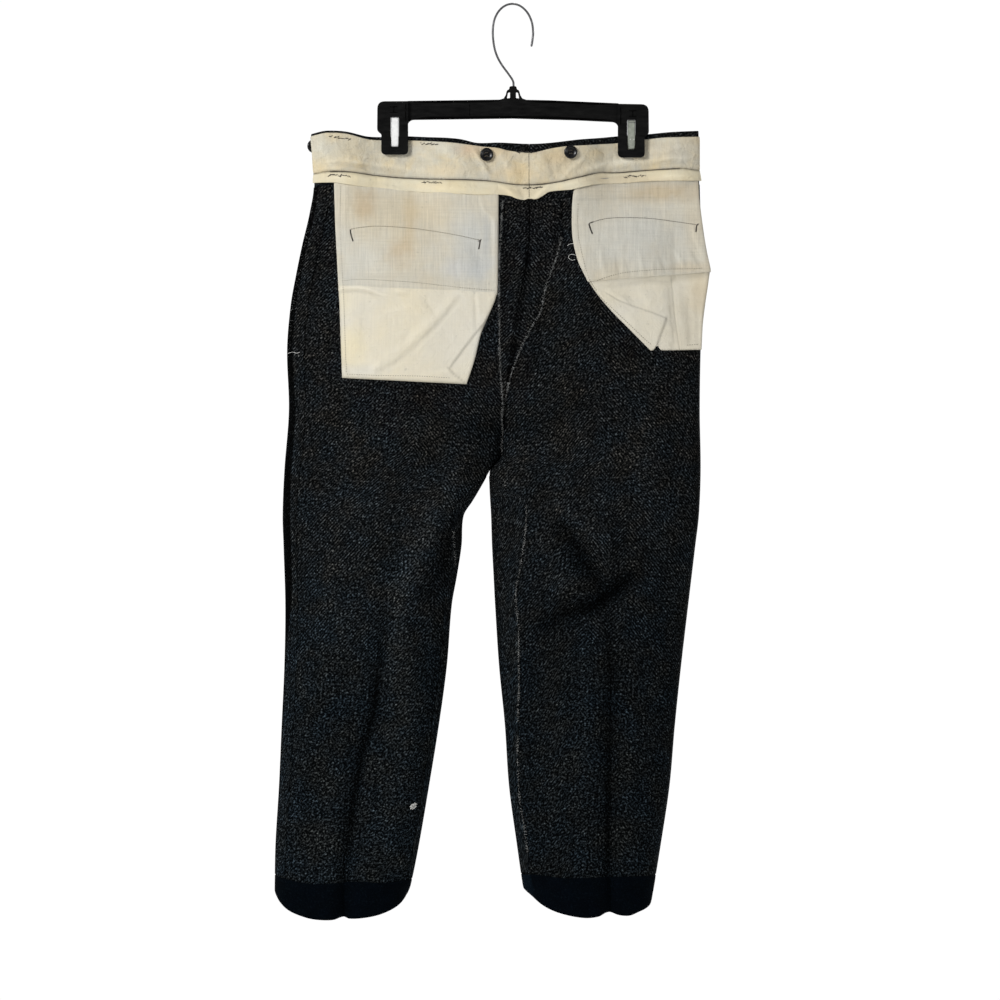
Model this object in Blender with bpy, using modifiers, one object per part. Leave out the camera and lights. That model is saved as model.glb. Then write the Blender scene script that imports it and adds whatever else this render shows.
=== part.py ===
# Wool trousers turned inside out, held by the waist in a clip hanger with a wire hook
# The garment's back faces -Y and its front +Y. Left and right are as someone facing the back sees them.
# The origin is the inside top of the hook's loop, where a rod carries the hanger.

import math

import bmesh
import bpy
from mathutils import Vector

MM = 0.001

# Walls, and the room between them
WOOL = 1.5 * MM
COTTON = 1.0 * MM
PATCH = 1.4 * MM
BAG = 1.8 * MM
ALLOWANCE = 1.0 * MM
HEM_BAND = 1.2 * MM
SEAM = 0.3 * MM  # between edges that are sewn together
LAY = 0.5 * MM  # between a wall and what lies on it
LOOSE = 1.0 * MM  # behind the pocket bags, which hang free of the panel
LEAST = WOOL / 2 + SEAM / 2  # from the middle plane to a wall that is pressed on the other one
TIGHT = 0.1 * MM  # spare room at a seam where the wall turns

# Hanger
WIRE = 2.5 * MM
BAR_TOP = -107.5 * MM
BAR_BOTTOM = -129.5 * MM
BAR_HALF_DEPTH = 4.0 * MM
NECK_TOP = -92.9 * MM
CLIP_X = 133.0 * MM
CLIP_HALF_WIDTH = 15.0 * MM
CLIP_SHOULDER = 19.5 * MM  # the clip's outer side above the step
CLIP_STEP = -142.0 * MM
CLIP_BOTTOM = {"left": -168.5 * MM, "right": -171.8 * MM}
CLIP_MOUTH = -140.0 * MM  # the top of the slit that takes the waist
JAW = 4.8 * MM
SLOT_HALF_WIDTH = 4.6 * MM
SLOT_TOP = -127.0 * MM
SLOT_BOTTOM = -160.0 * MM
SPRING = 1.0 * MM

# Buttons
BUTTON_DIAMETER = 15.0 * MM
BUTTON_THICKNESS = 3.0 * MM
BUTTON_SIDES = 18
BUTTON_HOLE = 1.8 * MM
BUTTON_HOLE_SPACING = 3.4 * MM

# Where the seat ends and the legs part
SEAT_END = -380.0 * MM
FORK = -507.0 * MM
HEM = -997.0 * MM
HEM_DROP = 22.0 * MM  # how much lower a hem's middle hangs than its sides
HEM_DROP_START = -955.0 * MM
ROUND = 2.4  # 2 is an ellipse, and more is squarer

# The flat stretch under a clip, and how fast the waist opens beside and below it
GRIP_HALF_WIDTH = 17.0 * MM
GRIP_FADE = 48.0 * MM
GRIP_DROP = 95.0 * MM
GRIP_RELEASE = -176.0 * MM
FOLD_FULL = 9.0 * MM  # folds fade where the cloth is flatter than this


def table(names, *rows):
    """A table in millimetres as named columns in metres."""
    return {name: [row[k] * MM for row in rows] for k, name in enumerate(names.split())}


SECTIONS = table(
    "height left right depth",
    (-140, -227, 208, 15),
    (-203, -223, 209, 20),
    (-236, -228, 210, 24),
    (-270, -236, 211, 27),
    (-304, -243, 212, 29),
    (-338, -249, 212, 31),
    (-388, -253, 210, 33),
    (-456, -251, 209, 35),
    (-523, -256, 210, 35),
    (-574, -258, 208, 34),
    (-608, -257, 204, 34),
    (-675, -255, 196, 35),
    (-743, -256, 188, 36),
    (-810, -259, 181, 37),
    (-878, -262, 175, 38),
    (-945, -266, 165, 39),
    (-1000, -267, 156, 40),
)
CENTRE_SEAM = table(
    "height x",
    (-140, 18),
    (-203, 18.5),
    (-270, 18),
    (-304, 13),
    (-338, 6),
    (-388, -2),
    (-456, -9.5),
    (-507, -12.8),
)
INSEAMS = table(
    "height left right",
    (-507, -14.2, -11.4),
    (-523, -28, -23.5),
    (-540, -36, -24.8),
    (-557, -46, -24.2),
    (-574, -56.5, -23.6),
    (-608, -59, -22.5),
    (-641, -64, -20.8),
    (-675, -70, -19),
    (-743, -75.5, -14.6),
    (-810, -84.5, -8),
    (-878, -95.5, -3.4),
    (-945, -107, 5.6),
    (-989, -116, 12),
    (-1000, -120, 14.5),
)
WAIST = table(
    "x rim facing seam curtain",
    (-232, -146, -149.5, -189.5, -199.5),
    (-200, -142, -146, -188, -200.5),
    (-147, -148.5, -152.5, -193, -207),
    (-78, -151, -156, -197, -212.5),
    (-30, -153.5, -160, -201.5, -214.5),
    (18, -156.5, -163.5, -204.5, -219.5),
    (63, -153, -158.5, -198, -208),
    (118, -148.5, -152.5, -190, -201),
    (146, -145, -149, -188, -199.5),
    (212, -141, -146, -186, -199),
)
# The pressed crease of each leg is a valley on this side of the cloth
CREASES = table(
    "height left right depth",
    (-600, -138, 100, 0),
    (-670, -144, 106, 1.5),
    (-760, -152, 108, 4),
    (-834, -167, 108, 6),
    (-910, -180, 109, 8),
    (-974, -188, 109, 10),
    (-1030, -190, 108, 12),
)
CREASE_WIDTH = 11.0 * MM
HEM_NOTCH = 3.0 * MM

# Large folds: a line from one end to the other, its width, and its rise, which is negative in a trough
FOLD_COLUMNS = "x1 z1 x2 z2 width rise"
BACK_FOLDS = table(
    FOLD_COLUMNS,
    (-64, -537, -128, -662, 20, 6),
    (-160, -560, -196, -700, 24, 4),
    (60, -587, 104, -664, 13, -6),
    (51, -564, 97, -605, 12, 5),
    (112, -660, 138, -644, 10, -4),
    (34, -690, 70, -668, 10, -3),
    (-20, -486, -104, -448, 15, -4),
    (0, -478, 84, -452, 15, -4),
    (-60, -470, -170, -500, 16, 3),
    (60, -490, 150, -520, 16, 3),
    (-110, -790, -128, -900, 16, 4),
    (52, -760, 48, -900, 16, 4),
)
FRONT_FOLDS = table(
    FOLD_COLUMNS,
    (0, -470, 78, -545, 14, -5),
    (-20, -480, -96, -560, 14, -5),
    (60, -430, 140, -470, 16, 4),
    (-80, -430, -170, -480, 16, 4),
    (-100, -600, -128, -720, 18, 4),
    (60, -620, 84, -740, 18, 4),
)
FOLDS = {"back": BACK_FOLDS, "front": FRONT_FOLDS}

# Columns across a panel, as shares from the side seam to the inner seam; two lie at the clip's sides
COLUMNS = {
    "back": {
        "left": (0, 0.01, 0.04, 0.09, 0.16, 0.235, 0.312, 0.385, 0.455,
            0.53, 0.62, 0.72, 0.81, 0.89, 0.95, 0.985, 1),
        "right": (0, 0.01, 0.04, 0.09, 0.16, 0.235, 0.303, 0.395, 0.486,
            0.56, 0.64, 0.73, 0.81, 0.89, 0.95, 0.985, 1),
    },
    "front": {
        "left": (0, 0.01, 0.045, 0.12, 0.21, 0.312, 0.455, 0.6, 0.76, 0.9, 0.975, 1),
        "right": (0, 0.01, 0.045, 0.12, 0.21, 0.303, 0.486, 0.62, 0.76, 0.9, 0.975, 1),
    },
}
PANEL_TOP = -196.0 * MM
PANEL_LEVEL = -300.0 * MM  # below this height the rows no longer follow the waist seam
BACK_ROWS = (196, 205, 215, 226, 240, 266, 300, 340, 385, 425, 460, 487, 507, 518, 530, 548, 570, 597,
    630, 665, 700, 740, 780, 820, 860, 900, 930, 955, 975, 986, 997)
FRONT_ROWS = (196, 205, 215, 235, 262, 310, 370, 425, 465, 490, 507, 518, 530, 560, 610, 690, 780, 870,
    930, 955, 975, 986, 997)
ALLOWANCE_TOP = 209
ALLOWANCE_END = 973
INSEAM_TOP = 530

# Inner lines of the two seat inlays, beside the centre seam
INLAYS = table(
    "height left right",
    (-222, -11.5, 54.5),
    (-262, -14, 54.5),
    (-292, -15, 46),
    (-320, -15.5, 36),
    (-350, -15.5, 30),
    (-366, -15.5, 19),
    (-389, -15, 8),
    (-417, -14.2, 0),
    (-440, -14, -4),
)
# Rows of the pocket patches and bags: the left and right ends of each row
LEFT_PATCH = table(
    "xl zl xr zr",
    (-201, -201, -16.5, -214),
    (-199, -255, -16.5, -264),
    (-196, -312, -17.5, -322),
)
LEFT_BAG = table(
    "xl zl xr zr",
    (-196, -312.4, -17.5, -322.4),
    (-194.5, -338, -23.5, -343),
    (-193.5, -366, -35.5, -369),
    (-192.5, -394, -43, -397),
    (-191.5, -420, -52, -426),
)
RIGHT_PATCH = table(
    "xl zl xr zr",
    (69, -208, 208, -200),
    (66.5, -224, 209.5, -219.5),
    (66.5, -259, 212.5, -255.5),
    (72, -286, 217, -281),
    (83, -310.5, 221.5, -300.5),
)
RIGHT_BAG = table(
    "xl zl xr zr",
    (84, -311, 221.5, -301),
    (94.5, -334, 217.5, -324),
    (111.5, -351, 215, -343),
    (128.5, -367, 212.5, -361),
    (146.5, -382.5, 212, -375),
    (155.5, -390.5, 211.5, -387.5),
)
BAG_FOLDS = table(
    FOLD_COLUMNS,
    (-47, -332, -130, -404, 9, 2.6),
    (178, -315, 188, -380, 9, 3),
    (130, -326, 172, -318, 8, 2),
)
BAG_INSET = 30.0 * MM  # past this distance from the side, a bag hangs straight beside the panel

FLY_TOP = -224.0 * MM
FLY_BOTTOM = -395.0 * MM
FLY_WIDTH = {"left": 34.0 * MM, "right": 42.0 * MM}

# Brace buttons: side, face, share across the panel from the side seam, height, and room under the button
BUTTONS = {
    "brace_button_back_left": ("left", "back", 0.804, -168.2 * MM, 0.8 * MM),
    "brace_button_back_right": ("right", "back", 0.754, -165.4 * MM, 0.8 * MM),
    "brace_button_front_outer_left": ("left", "front", 0.012, -158.5 * MM, 0.8 * MM),
    "brace_button_front_inner_left": ("left", "front", 0.17, -163.0 * MM, -0.3 * MM),
    "brace_button_front_outer_right": ("right", "front", 0.2, -160.0 * MM, 0.6 * MM),
    "brace_button_front_inner_right": ("right", "front", 0.72, -166.0 * MM, -0.3 * MM),
}
# The hook in its own upright plane: across, and up
HOOK_ROUTE = (
    (0.8, -92.6),
    (0.2, -86),
    (-6.5, -78),
    (-15.5, -69),
    (-22, -61),
    (-26.6, -52),
    (-29.3, -41),
    (-30, -29),
    (-27.8, -17.6),
    (-21.2, -7.6),
    (-11.2, -0.9),
    (0, 1.25),
    (11.2, -0.9),
    (21.2, -7.6),
    (27.8, -17.6),
    (30, -29),
    (29.2, -38),
    (27.5, -46),
)
HOOK_TURN = math.radians(41)
HOOK_STEPS = 2

COLOURS = {
    "wool": ((0.0105, 0.0123, 0.0130, 1), 0.9, 0.0),
    "hem": ((0.0035, 0.0045, 0.006, 1), 0.85, 0.0),
    "facing": ((0.55, 0.50, 0.38, 1), 0.9, 0.0),
    "pocket": ((0.58, 0.55, 0.44, 1), 0.92, 0.0),
    "bag": ((0.66, 0.63, 0.51, 1), 0.92, 0.0),
    "button": ((0.012, 0.011, 0.010, 1), 0.35, 0.0),
    "plastic": ((0.012, 0.012, 0.013, 1), 0.4, 0.0),
    "steel": ((0.55, 0.55, 0.56, 1), 0.25, 1.0),
}


def ease(share):
    """0 to 1, with level ends."""
    share = min(1.0, max(0.0, share))
    return share * share * (3 - 2 * share)


def along(rows, name, at, key="height"):
    """The smooth curve through one column of a table, read at one value of its key column."""
    keys = rows[key]
    values = rows[name]
    if keys[0] > keys[-1]:
        keys = keys[::-1]
        values = values[::-1]
    last = len(keys) - 1
    at = min(keys[-1], max(keys[0], at))
    k = max(i for i in range(last) if at >= keys[i])

    def slope(i):
        low = max(0, i - 1)
        high = min(last, i + 1)
        return (values[high] - values[low]) / (keys[high] - keys[low])

    step = keys[k + 1] - keys[k]
    s = (at - keys[k]) / step
    start = (1 + 2 * s) * (1 - s) ** 2 * values[k] + s * (1 - s) ** 2 * step * slope(k)
    end = s * s * (3 - 2 * s) * values[k + 1] + s * s * (s - 1) * step * slope(k + 1)
    return start + end


def edges(side, z):
    """Where a half's side seam and its inner seam are, at a height."""
    inner = along(CENTRE_SEAM, "x", z) if z > FORK else along(INSEAMS, side, z)
    return along(SECTIONS, side, z), inner


def fullness(t, z):
    """How much of the section's half depth the cloth has, from the side seam to the inner seam."""
    leg = ease((SEAT_END - z) / (SEAT_END - FORK))
    closed = math.sqrt(max(0, 1 - abs(2 * t - 1) ** ROUND))
    opened = math.sqrt(max(0, 1 - (1 - t) ** ROUND))
    return opened + (closed - opened) * leg


def looseness(x, z):
    """0 where a clip presses the waist flat, and 1 away from it."""
    beside = ease((abs(abs(x) - CLIP_X) - GRIP_HALF_WIDTH) / GRIP_FADE)
    below = ease((GRIP_RELEASE - z) / GRIP_DROP)
    return 1 - (1 - beside) * (1 - below)


def fold_rise(folds, x, z):
    """What the folds of a table add to the cloth's depth at one place."""
    total = 0
    for x1, z1, x2, z2, width, rise in zip(*(folds[name] for name in FOLD_COLUMNS.split())):
        start = Vector((x1, z1))
        line = Vector((x2, z2)) - start
        share = min(1, max(0, (Vector((x, z)) - start).dot(line) / line.length_squared))
        away = (Vector((x, z)) - start - line * share).length
        total += rise * math.exp(-((away / width) ** 2))
    return total


def crease_depth(side, x, z):
    """The valley of a leg's pressed crease."""
    away = x - along(CREASES, side, z)
    return along(CREASES, "depth", z) * math.exp(-((away / CREASE_WIDTH) ** 2))


def depth_at(side, face, x, z):
    """How far the middle of the wool wall is from the plane between front and back."""
    outer, inner = edges(side, z)
    t = min(1, max(0, (x - outer) / (inner - outer)))
    depth = along(SECTIONS, "depth", z) * fullness(t, z)
    depth = LEAST + max(0, depth - LEAST) * looseness(x, z)
    folds = fold_rise(FOLDS[face], x, z) - crease_depth(side, x, z)
    return max(LEAST, depth + folds * ease(depth / FOLD_FULL))


def waist_height(side, t, line):
    """The height of one of the waist table's lines, at a share across a half."""
    outer, inner = edges(side, PANEL_TOP)
    return along(WAIST, line, outer + (inner - outer) * t, "x")


def cloth_point(side, face, t, level):
    """A point on the middle of a wool panel, at a share across it and a level down it."""
    outer, inner = edges(side, level)
    x = outer + (inner - outer) * t
    follow = ease((level - PANEL_LEVEL) / (PANEL_TOP - PANEL_LEVEL))
    waist = waist_height(side, t, "seam") - 2 * MM - PANEL_TOP
    sag = ease((HEM_DROP_START - level) / (HEM_DROP_START - HEM)) ** 2
    notch = HEM_NOTCH * math.exp(-(((x - along(CREASES, side, level)) / (CREASE_WIDTH / 2)) ** 2))
    z = level + follow * waist - sag * (HEM_DROP * fullness(t, level) - notch)
    return placed(side, face, t, z)


def placed(side, face, t, z):
    """A point on the middle of the wool wall, at a share across it and a height."""
    outer, inner = edges(side, z)
    x = outer + (inner - outer) * t
    y = depth_at(side, face, x, z)
    return Vector((x, y if face == "front" else -y, z))


def seamed(side, face, grid, thickness):
    """Draws the grid's end columns back, so that the walls end just short of the seam planes."""
    for row in grid:
        for end, beside in ((0, 1), (-1, -2)):
            along_row = row[beside] - row[end]
            length = math.hypot(along_row.x, along_row.y)
            facing_y = abs(along_row.x) / length
            facing_x = abs(along_row.y) / length
            clear = SEAM / 2 + TIGHT
            if end == -1 and row[end].z > FORK:
                inner = along(CENTRE_SEAM, "x", row[end].z)
                away = clear + facing_x * thickness / 2
                row[end].x = inner + (away if side == "right" else -away)
            else:
                away = clear + facing_y * thickness / 2
                row[end].y = away if face == "front" else -away
    return grid


def panel_grid(side, face, columns, levels):
    """The wool wall's middle as rows of points."""
    grid = [[cloth_point(side, face, t, -level * MM) for t in columns] for level in levels]
    return seamed(side, face, grid, WOOL)


def moved_out(grid, side, face, distance):
    """The grid again, moved out of the garment along its own normals."""
    last_row = len(grid) - 1
    last_column = len(grid[0]) - 1
    result = []
    for i, row in enumerate(grid):
        new_row = []
        for j, point in enumerate(row):
            across = row[min(j + 1, last_column)] - row[max(j - 1, 0)]
            down = grid[min(i + 1, last_row)][j] - grid[max(i - 1, 0)][j]
            normal = across.cross(down).normalized()
            if (side == "left") != (face == "front"):
                normal = -normal
            new_row.append(point + normal * distance)
        result.append(new_row)
    return result


def lying_point(side, face, x, z, thickness, gap=LAY, folds=None, inset=0):
    """A point in the middle of a wall that lies on the wool, placed by its x and z."""
    outer, inner = edges(side, z)
    inward = 1 if inner > outer else -1

    def depth(px, pz):
        kept = max(px * inward, (outer + inward * inset) * inward) * inward
        return depth_at(side, face, kept, pz)

    probe = 2 * MM
    slope_x = (depth(x + probe, z) - depth(x - probe, z)) / (2 * probe)
    slope_z = (depth(x, z + probe) - depth(x, z - probe)) / (2 * probe)
    out = 1 if face == "front" else -1
    normal = Vector((-slope_x, out, -slope_z)).normalized()
    rise = WOOL / 2 + gap + thickness / 2 + (fold_rise(folds, x, z) if folds else 0)
    point = Vector((x, out * depth(x, z), z)) + normal * rise
    seam = along(CENTRE_SEAM, "x", z) - (SEAM / 2 + TIGHT + thickness / 2) * inward
    point.x = min(point.x * inward, seam * inward) * inward
    return point


def material(name):
    colour, roughness, metallic = COLOURS[name]
    made = bpy.data.materials.new(name)
    made.use_nodes = True
    shader = made.node_tree.nodes["Principled BSDF"]
    shader.inputs["Base Color"].default_value = colour
    shader.inputs["Roughness"].default_value = roughness
    shader.inputs["Metallic"].default_value = metallic
    return made


def add(name, data, colour, collection):
    """A new object for some mesh or curve data, in a collection."""
    made = bpy.data.objects.new(name, data)
    collection.objects.link(made)
    if colour:
        data.materials.clear()
        data.materials.append(material(colour))
        made.data.materials[0].name = name + "_" + colour
    return made


def wall(name, grid, thickness, colour, collection):
    """A cloth wall: an open surface through a grid of points, given its thickness."""
    surface = bmesh.new()
    bmesh.ops.create_grid(surface, x_segments=len(grid[0]) - 1, y_segments=len(grid) - 1, size=1)
    points = [point for row in grid for point in row]
    for vertex, point in zip(surface.verts, points):
        vertex.co = point
    mesh = bpy.data.meshes.new(name)
    surface.to_mesh(mesh)
    surface.free()
    mesh.shade_smooth()
    made = add(name, mesh, colour, collection)
    solidify = made.modifiers.new("Wall", "SOLIDIFY")
    solidify.thickness = thickness
    solidify.offset = 0
    solidify.use_even_offset = True
    return made


def make_panels(collection):
    for side in ("left", "right"):
        for face, levels in (("back", BACK_ROWS), ("front", FRONT_ROWS)):
            grid = panel_grid(side, face, COLUMNS[face][side], levels)
            wall(f"{face}_panel_{side}", grid, WOOL, "wool", collection)


def waist_grid(side, face, top, bottom, rows):
    """Rows between two lines of the waist table, each a column name and a distance above that line."""
    grid = []
    for k in range(rows + 1):
        row = []
        for t in COLUMNS[face][side]:
            high = waist_height(side, t, top[0]) + top[1]
            low = waist_height(side, t, bottom[0]) + bottom[1]
            row.append(placed(side, face, t, high + (low - high) * k / rows))
        grid.append(row)
    return seamed(side, face, grid, WOOL)


def make_waist(collection):
    half = SEAM / 2
    lift = WOOL / 2 + LAY + COTTON / 2
    for side in ("left", "right"):
        for face in ("back", "front"):
            band = waist_grid(side, face, ("rim", 0), ("seam", SEAM - 2 * MM), 3)
            wall(f"waistband_{face}_{side}", band, WOOL, "wool", collection)
            facing = waist_grid(side, face, ("facing", 0), ("seam", half), 3)
            facing = moved_out(facing, side, face, lift)
            wall(f"waist_facing_{face}_{side}", facing, COTTON, "facing", collection)
            curtain = waist_grid(side, face, ("seam", -half), ("curtain", 0), 2)
            curtain = moved_out(curtain, side, face, lift + LAY / 2)
            wall(f"waist_curtain_{face}_{side}", curtain, COTTON, "facing", collection)


def make_allowances(collection):
    lift = WOOL / 2 + LAY + ALLOWANCE / 2
    for side, face, levels in (("left", "back", BACK_ROWS), ("right", "front", FRONT_ROWS)):
        levels = [ALLOWANCE_TOP] + [level for level in levels if ALLOWANCE_TOP < level < ALLOWANCE_END]
        levels.append(ALLOWANCE_END)
        grid = panel_grid(side, face, COLUMNS[face][side][:4] + (1,), levels)
        grid = [row[:4] for row in grid]
        grid = moved_out(grid, side, face, lift)
        wall(f"side_allowance_{side}", grid, ALLOWANCE, "wool", collection)
    # The right leg's allowance is wide at the fork and narrows down the leg
    levels = [level for level in BACK_ROWS if INSEAM_TOP <= level < ALLOWANCE_END] + [ALLOWANCE_END]
    for side, wide, narrow in (("left", 0.42, 0.3), ("right", 1.0, 0.55)):
        grid = []
        for level in levels:
            down = ease((level - INSEAM_TOP) / (ALLOWANCE_END - INSEAM_TOP))
            scale = wide + (narrow - wide) * down
            shares = [1 - (1 - t) * scale for t in COLUMNS["back"][side][-5:]]
            grid.append(panel_grid(side, "back", [0] + shares, [level])[0][1:])
        grid = moved_out(grid, side, "back", lift + LAY / 2)
        wall(f"inseam_allowance_{side}", grid, ALLOWANCE, "wool", collection)


def make_hem_bands(collection):
    lift = WOOL / 2 + LAY + HEM_BAND / 2
    for side in ("left", "right"):
        for face in ("back", "front"):
            grid = panel_grid(side, face, COLUMNS[face][side], BACK_ROWS[-3:])
            grid = moved_out(grid, side, face, lift)
            wall(f"hem_band_{face}_{side}", grid, HEM_BAND, "hem", collection)


def make_inlays(collection):
    columns = 4
    rows = 11
    top = INLAYS["height"][0]
    bottom = INLAYS["height"][-1]
    for side in ("left", "right"):
        outward = 1 if side == "right" else -1
        grid = []
        for k in range(rows + 1):
            z = top + (bottom - top) * k / rows
            start = along(CENTRE_SEAM, "x", z) + outward * (SEAM / 2 + TIGHT)
            end = along(INLAYS, side, z)
            xs = [start + (end - start) * j / columns for j in range(columns + 1)]
            grid.append([lying_point(side, "back", x, z, ALLOWANCE) for x in xs])
        wall(f"seat_inlay_{side}", grid, ALLOWANCE, "wool", collection)


def make_pocket_piece(name, side, ends, thickness, colour, columns, rows, under_curtain, collection):
    """A patch or bag between the row ends of a table; rows are read evenly down it."""
    inset = BAG_INSET if side == "right" else 0
    count = len(ends["xl"]) - 1
    ends = dict(ends, row=list(range(count + 1)))
    grid = []
    for k in range(rows + 1):
        xl, zl, xr, zr = (along(ends, name, count * k / rows, "row") for name in ("xl", "zl", "xr", "zr"))
        row = []
        for j in range(columns + 1):
            u = j / columns
            x = xl + (xr - xl) * u
            z = zl + (zr - zl) * u
            if under_curtain and k == 0:
                z = along(WAIST, "curtain", x, "x") - LAY
            row.append(lying_point(side, "back", x, z, thickness, LOOSE, BAG_FOLDS, inset))
        grid.append(row)
    wall(name, grid, thickness, colour, collection)


def make_pockets(collection):
    make_pocket_piece("pocket_patch_left", "left", LEFT_PATCH, PATCH, "pocket", 13, 5, True, collection)
    make_pocket_piece("pocket_bag_left", "left", LEFT_BAG, BAG, "bag", 14, 7, False, collection)
    make_pocket_piece("pocket_patch_right", "right", RIGHT_PATCH, PATCH, "pocket", 13, 5, True, collection)
    make_pocket_piece("pocket_bag_right", "right", RIGHT_BAG, BAG, "bag", 13, 6, False, collection)


def make_fly(collection):
    """The two strips behind the front opening, plain because they are on the hidden side."""
    columns = 3
    rows = 7
    for side, name in (("left", "fly_shield"), ("right", "fly_facing")):
        outward = 1 if side == "right" else -1
        grid = []
        for k in range(rows + 1):
            z = FLY_TOP + (FLY_BOTTOM - FLY_TOP) * k / rows
            start = along(CENTRE_SEAM, "x", z) + outward * (SEAM / 2 + TIGHT)
            xs = [start + outward * FLY_WIDTH[side] * j / columns for j in range(columns + 1)]
            grid.append([lying_point(side, "front", x, z, ALLOWANCE) for x in xs])
        wall(name, grid, ALLOWANCE, "wool", collection)


def button_mesh(cutters):
    """A four-hole button, turned about Z, with a raised rim around a dished middle."""
    radius = BUTTON_DIAMETER / 2
    half = BUTTON_THICKNESS / 2
    outline = (
        (0, half - 0.9 * MM),
        (radius - 2.6 * MM, half - 0.9 * MM),
        (radius - 1.4 * MM, half),
        (radius, half - 1.2 * MM),
        (radius - 1.2 * MM, -half),
        (0, -half),
    )
    profile = bmesh.new()
    points = [profile.verts.new((x, 0, z)) for x, z in outline]
    for first, second in zip(points, points[1:]):
        profile.edges.new((first, second))
    mesh = bpy.data.meshes.new("button_profile")
    profile.to_mesh(mesh)
    profile.free()
    turned = add("button_profile", mesh, None, cutters)
    screw = turned.modifiers.new("Turn", "SCREW")
    screw.steps = BUTTON_SIDES
    screw.render_steps = BUTTON_SIDES
    screw.use_merge_vertices = True
    screw.merge_threshold = 0.0001
    for k in range(4):
        angle = math.radians(45 + 90 * k)
        drill = bmesh.new()
        bmesh.ops.create_cone(drill, cap_ends=True, segments=6, radius1=BUTTON_HOLE / 2,
            radius2=BUTTON_HOLE / 2, depth=2 * BUTTON_THICKNESS)
        reach = BUTTON_HOLE_SPACING / math.sqrt(2)
        place = (reach * math.cos(angle), reach * math.sin(angle), 0)
        bmesh.ops.translate(drill, verts=drill.verts, vec=place)
        drill_mesh = bpy.data.meshes.new("button_drill")
        drill.to_mesh(drill_mesh)
        drill.free()
        cutter = add(f"button_drill_{k}", drill_mesh, None, cutters)
        cut = turned.modifiers.new("Hole", "BOOLEAN")
        cut.object = cutter
    bpy.context.view_layer.update()
    depsgraph = bpy.context.evaluated_depsgraph_get()
    made = bpy.data.meshes.new_from_object(turned.evaluated_get(depsgraph))
    made.name = "brace_button"
    made.shade_smooth()
    made.set_sharp_from_angle(angle=math.radians(35))
    return made


def make_buttons(collection, cutters):
    mesh = button_mesh(cutters)
    mesh.materials.clear()
    mesh.materials.append(material("button"))
    facing = WOOL / 2 + LAY + COTTON
    step = 0.012
    for name, (side, face, t, z, room) in BUTTONS.items():
        here = placed(side, face, t, z)
        across = placed(side, face, t + step, z) - placed(side, face, max(0, t - step), z)
        down = placed(side, face, t, z - 4 * MM) - placed(side, face, t, z + 4 * MM)
        normal = across.cross(down).normalized()
        if (side == "left") != (face == "front"):
            normal = -normal
        made = bpy.data.objects.new(name, mesh)
        collection.objects.link(made)
        made.rotation_mode = "QUATERNION"
        made.rotation_quaternion = normal.to_track_quat("Z", "Y")
        made.location = here + normal * (facing + room + BUTTON_THICKNESS / 2)


def flat_piece(name, outlines, half_depth, colour, collection):
    """A plate from closed outlines in the XZ plane; the outlines after the first are holes."""
    curve = bpy.data.curves.new(name, "CURVE")
    curve.dimensions = "2D"
    curve.fill_mode = "BOTH"
    curve.extrude = half_depth
    for outline in outlines:
        spline = curve.splines.new("POLY")
        spline.points.add(len(outline) - 1)
        for point, (x, z) in zip(spline.points, outline):
            point.co = (x, z, 0, 1)
        spline.use_cyclic_u = True
    flat = add(name + "_outline", curve, None, collection)
    flat.rotation_euler = (math.pi / 2, 0, 0)
    bpy.context.view_layer.update()
    depsgraph = bpy.context.evaluated_depsgraph_get()
    mesh = bpy.data.meshes.new_from_object(flat.evaluated_get(depsgraph))
    mesh.transform(flat.matrix_world)
    bpy.data.objects.remove(flat)
    joined = bmesh.new()
    joined.from_mesh(mesh)
    bmesh.ops.remove_doubles(joined, verts=joined.verts, dist=0.00001)
    bmesh.ops.recalc_face_normals(joined, faces=joined.faces)
    joined.to_mesh(mesh)
    joined.free()
    mesh.name = name
    return add(name, mesh, colour, collection)


def box(name, low, high, colour, collection):
    made = bmesh.new()
    bmesh.ops.create_cube(made, size=1)
    low = Vector(low)
    high = Vector(high)
    for vertex in made.verts:
        vertex.co = [(low[k] + high[k]) / 2 + vertex.co[k] * (high[k] - low[k]) for k in range(3)]
    mesh = bpy.data.meshes.new(name)
    made.to_mesh(mesh)
    made.free()
    return add(name, mesh, colour, collection)


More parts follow.
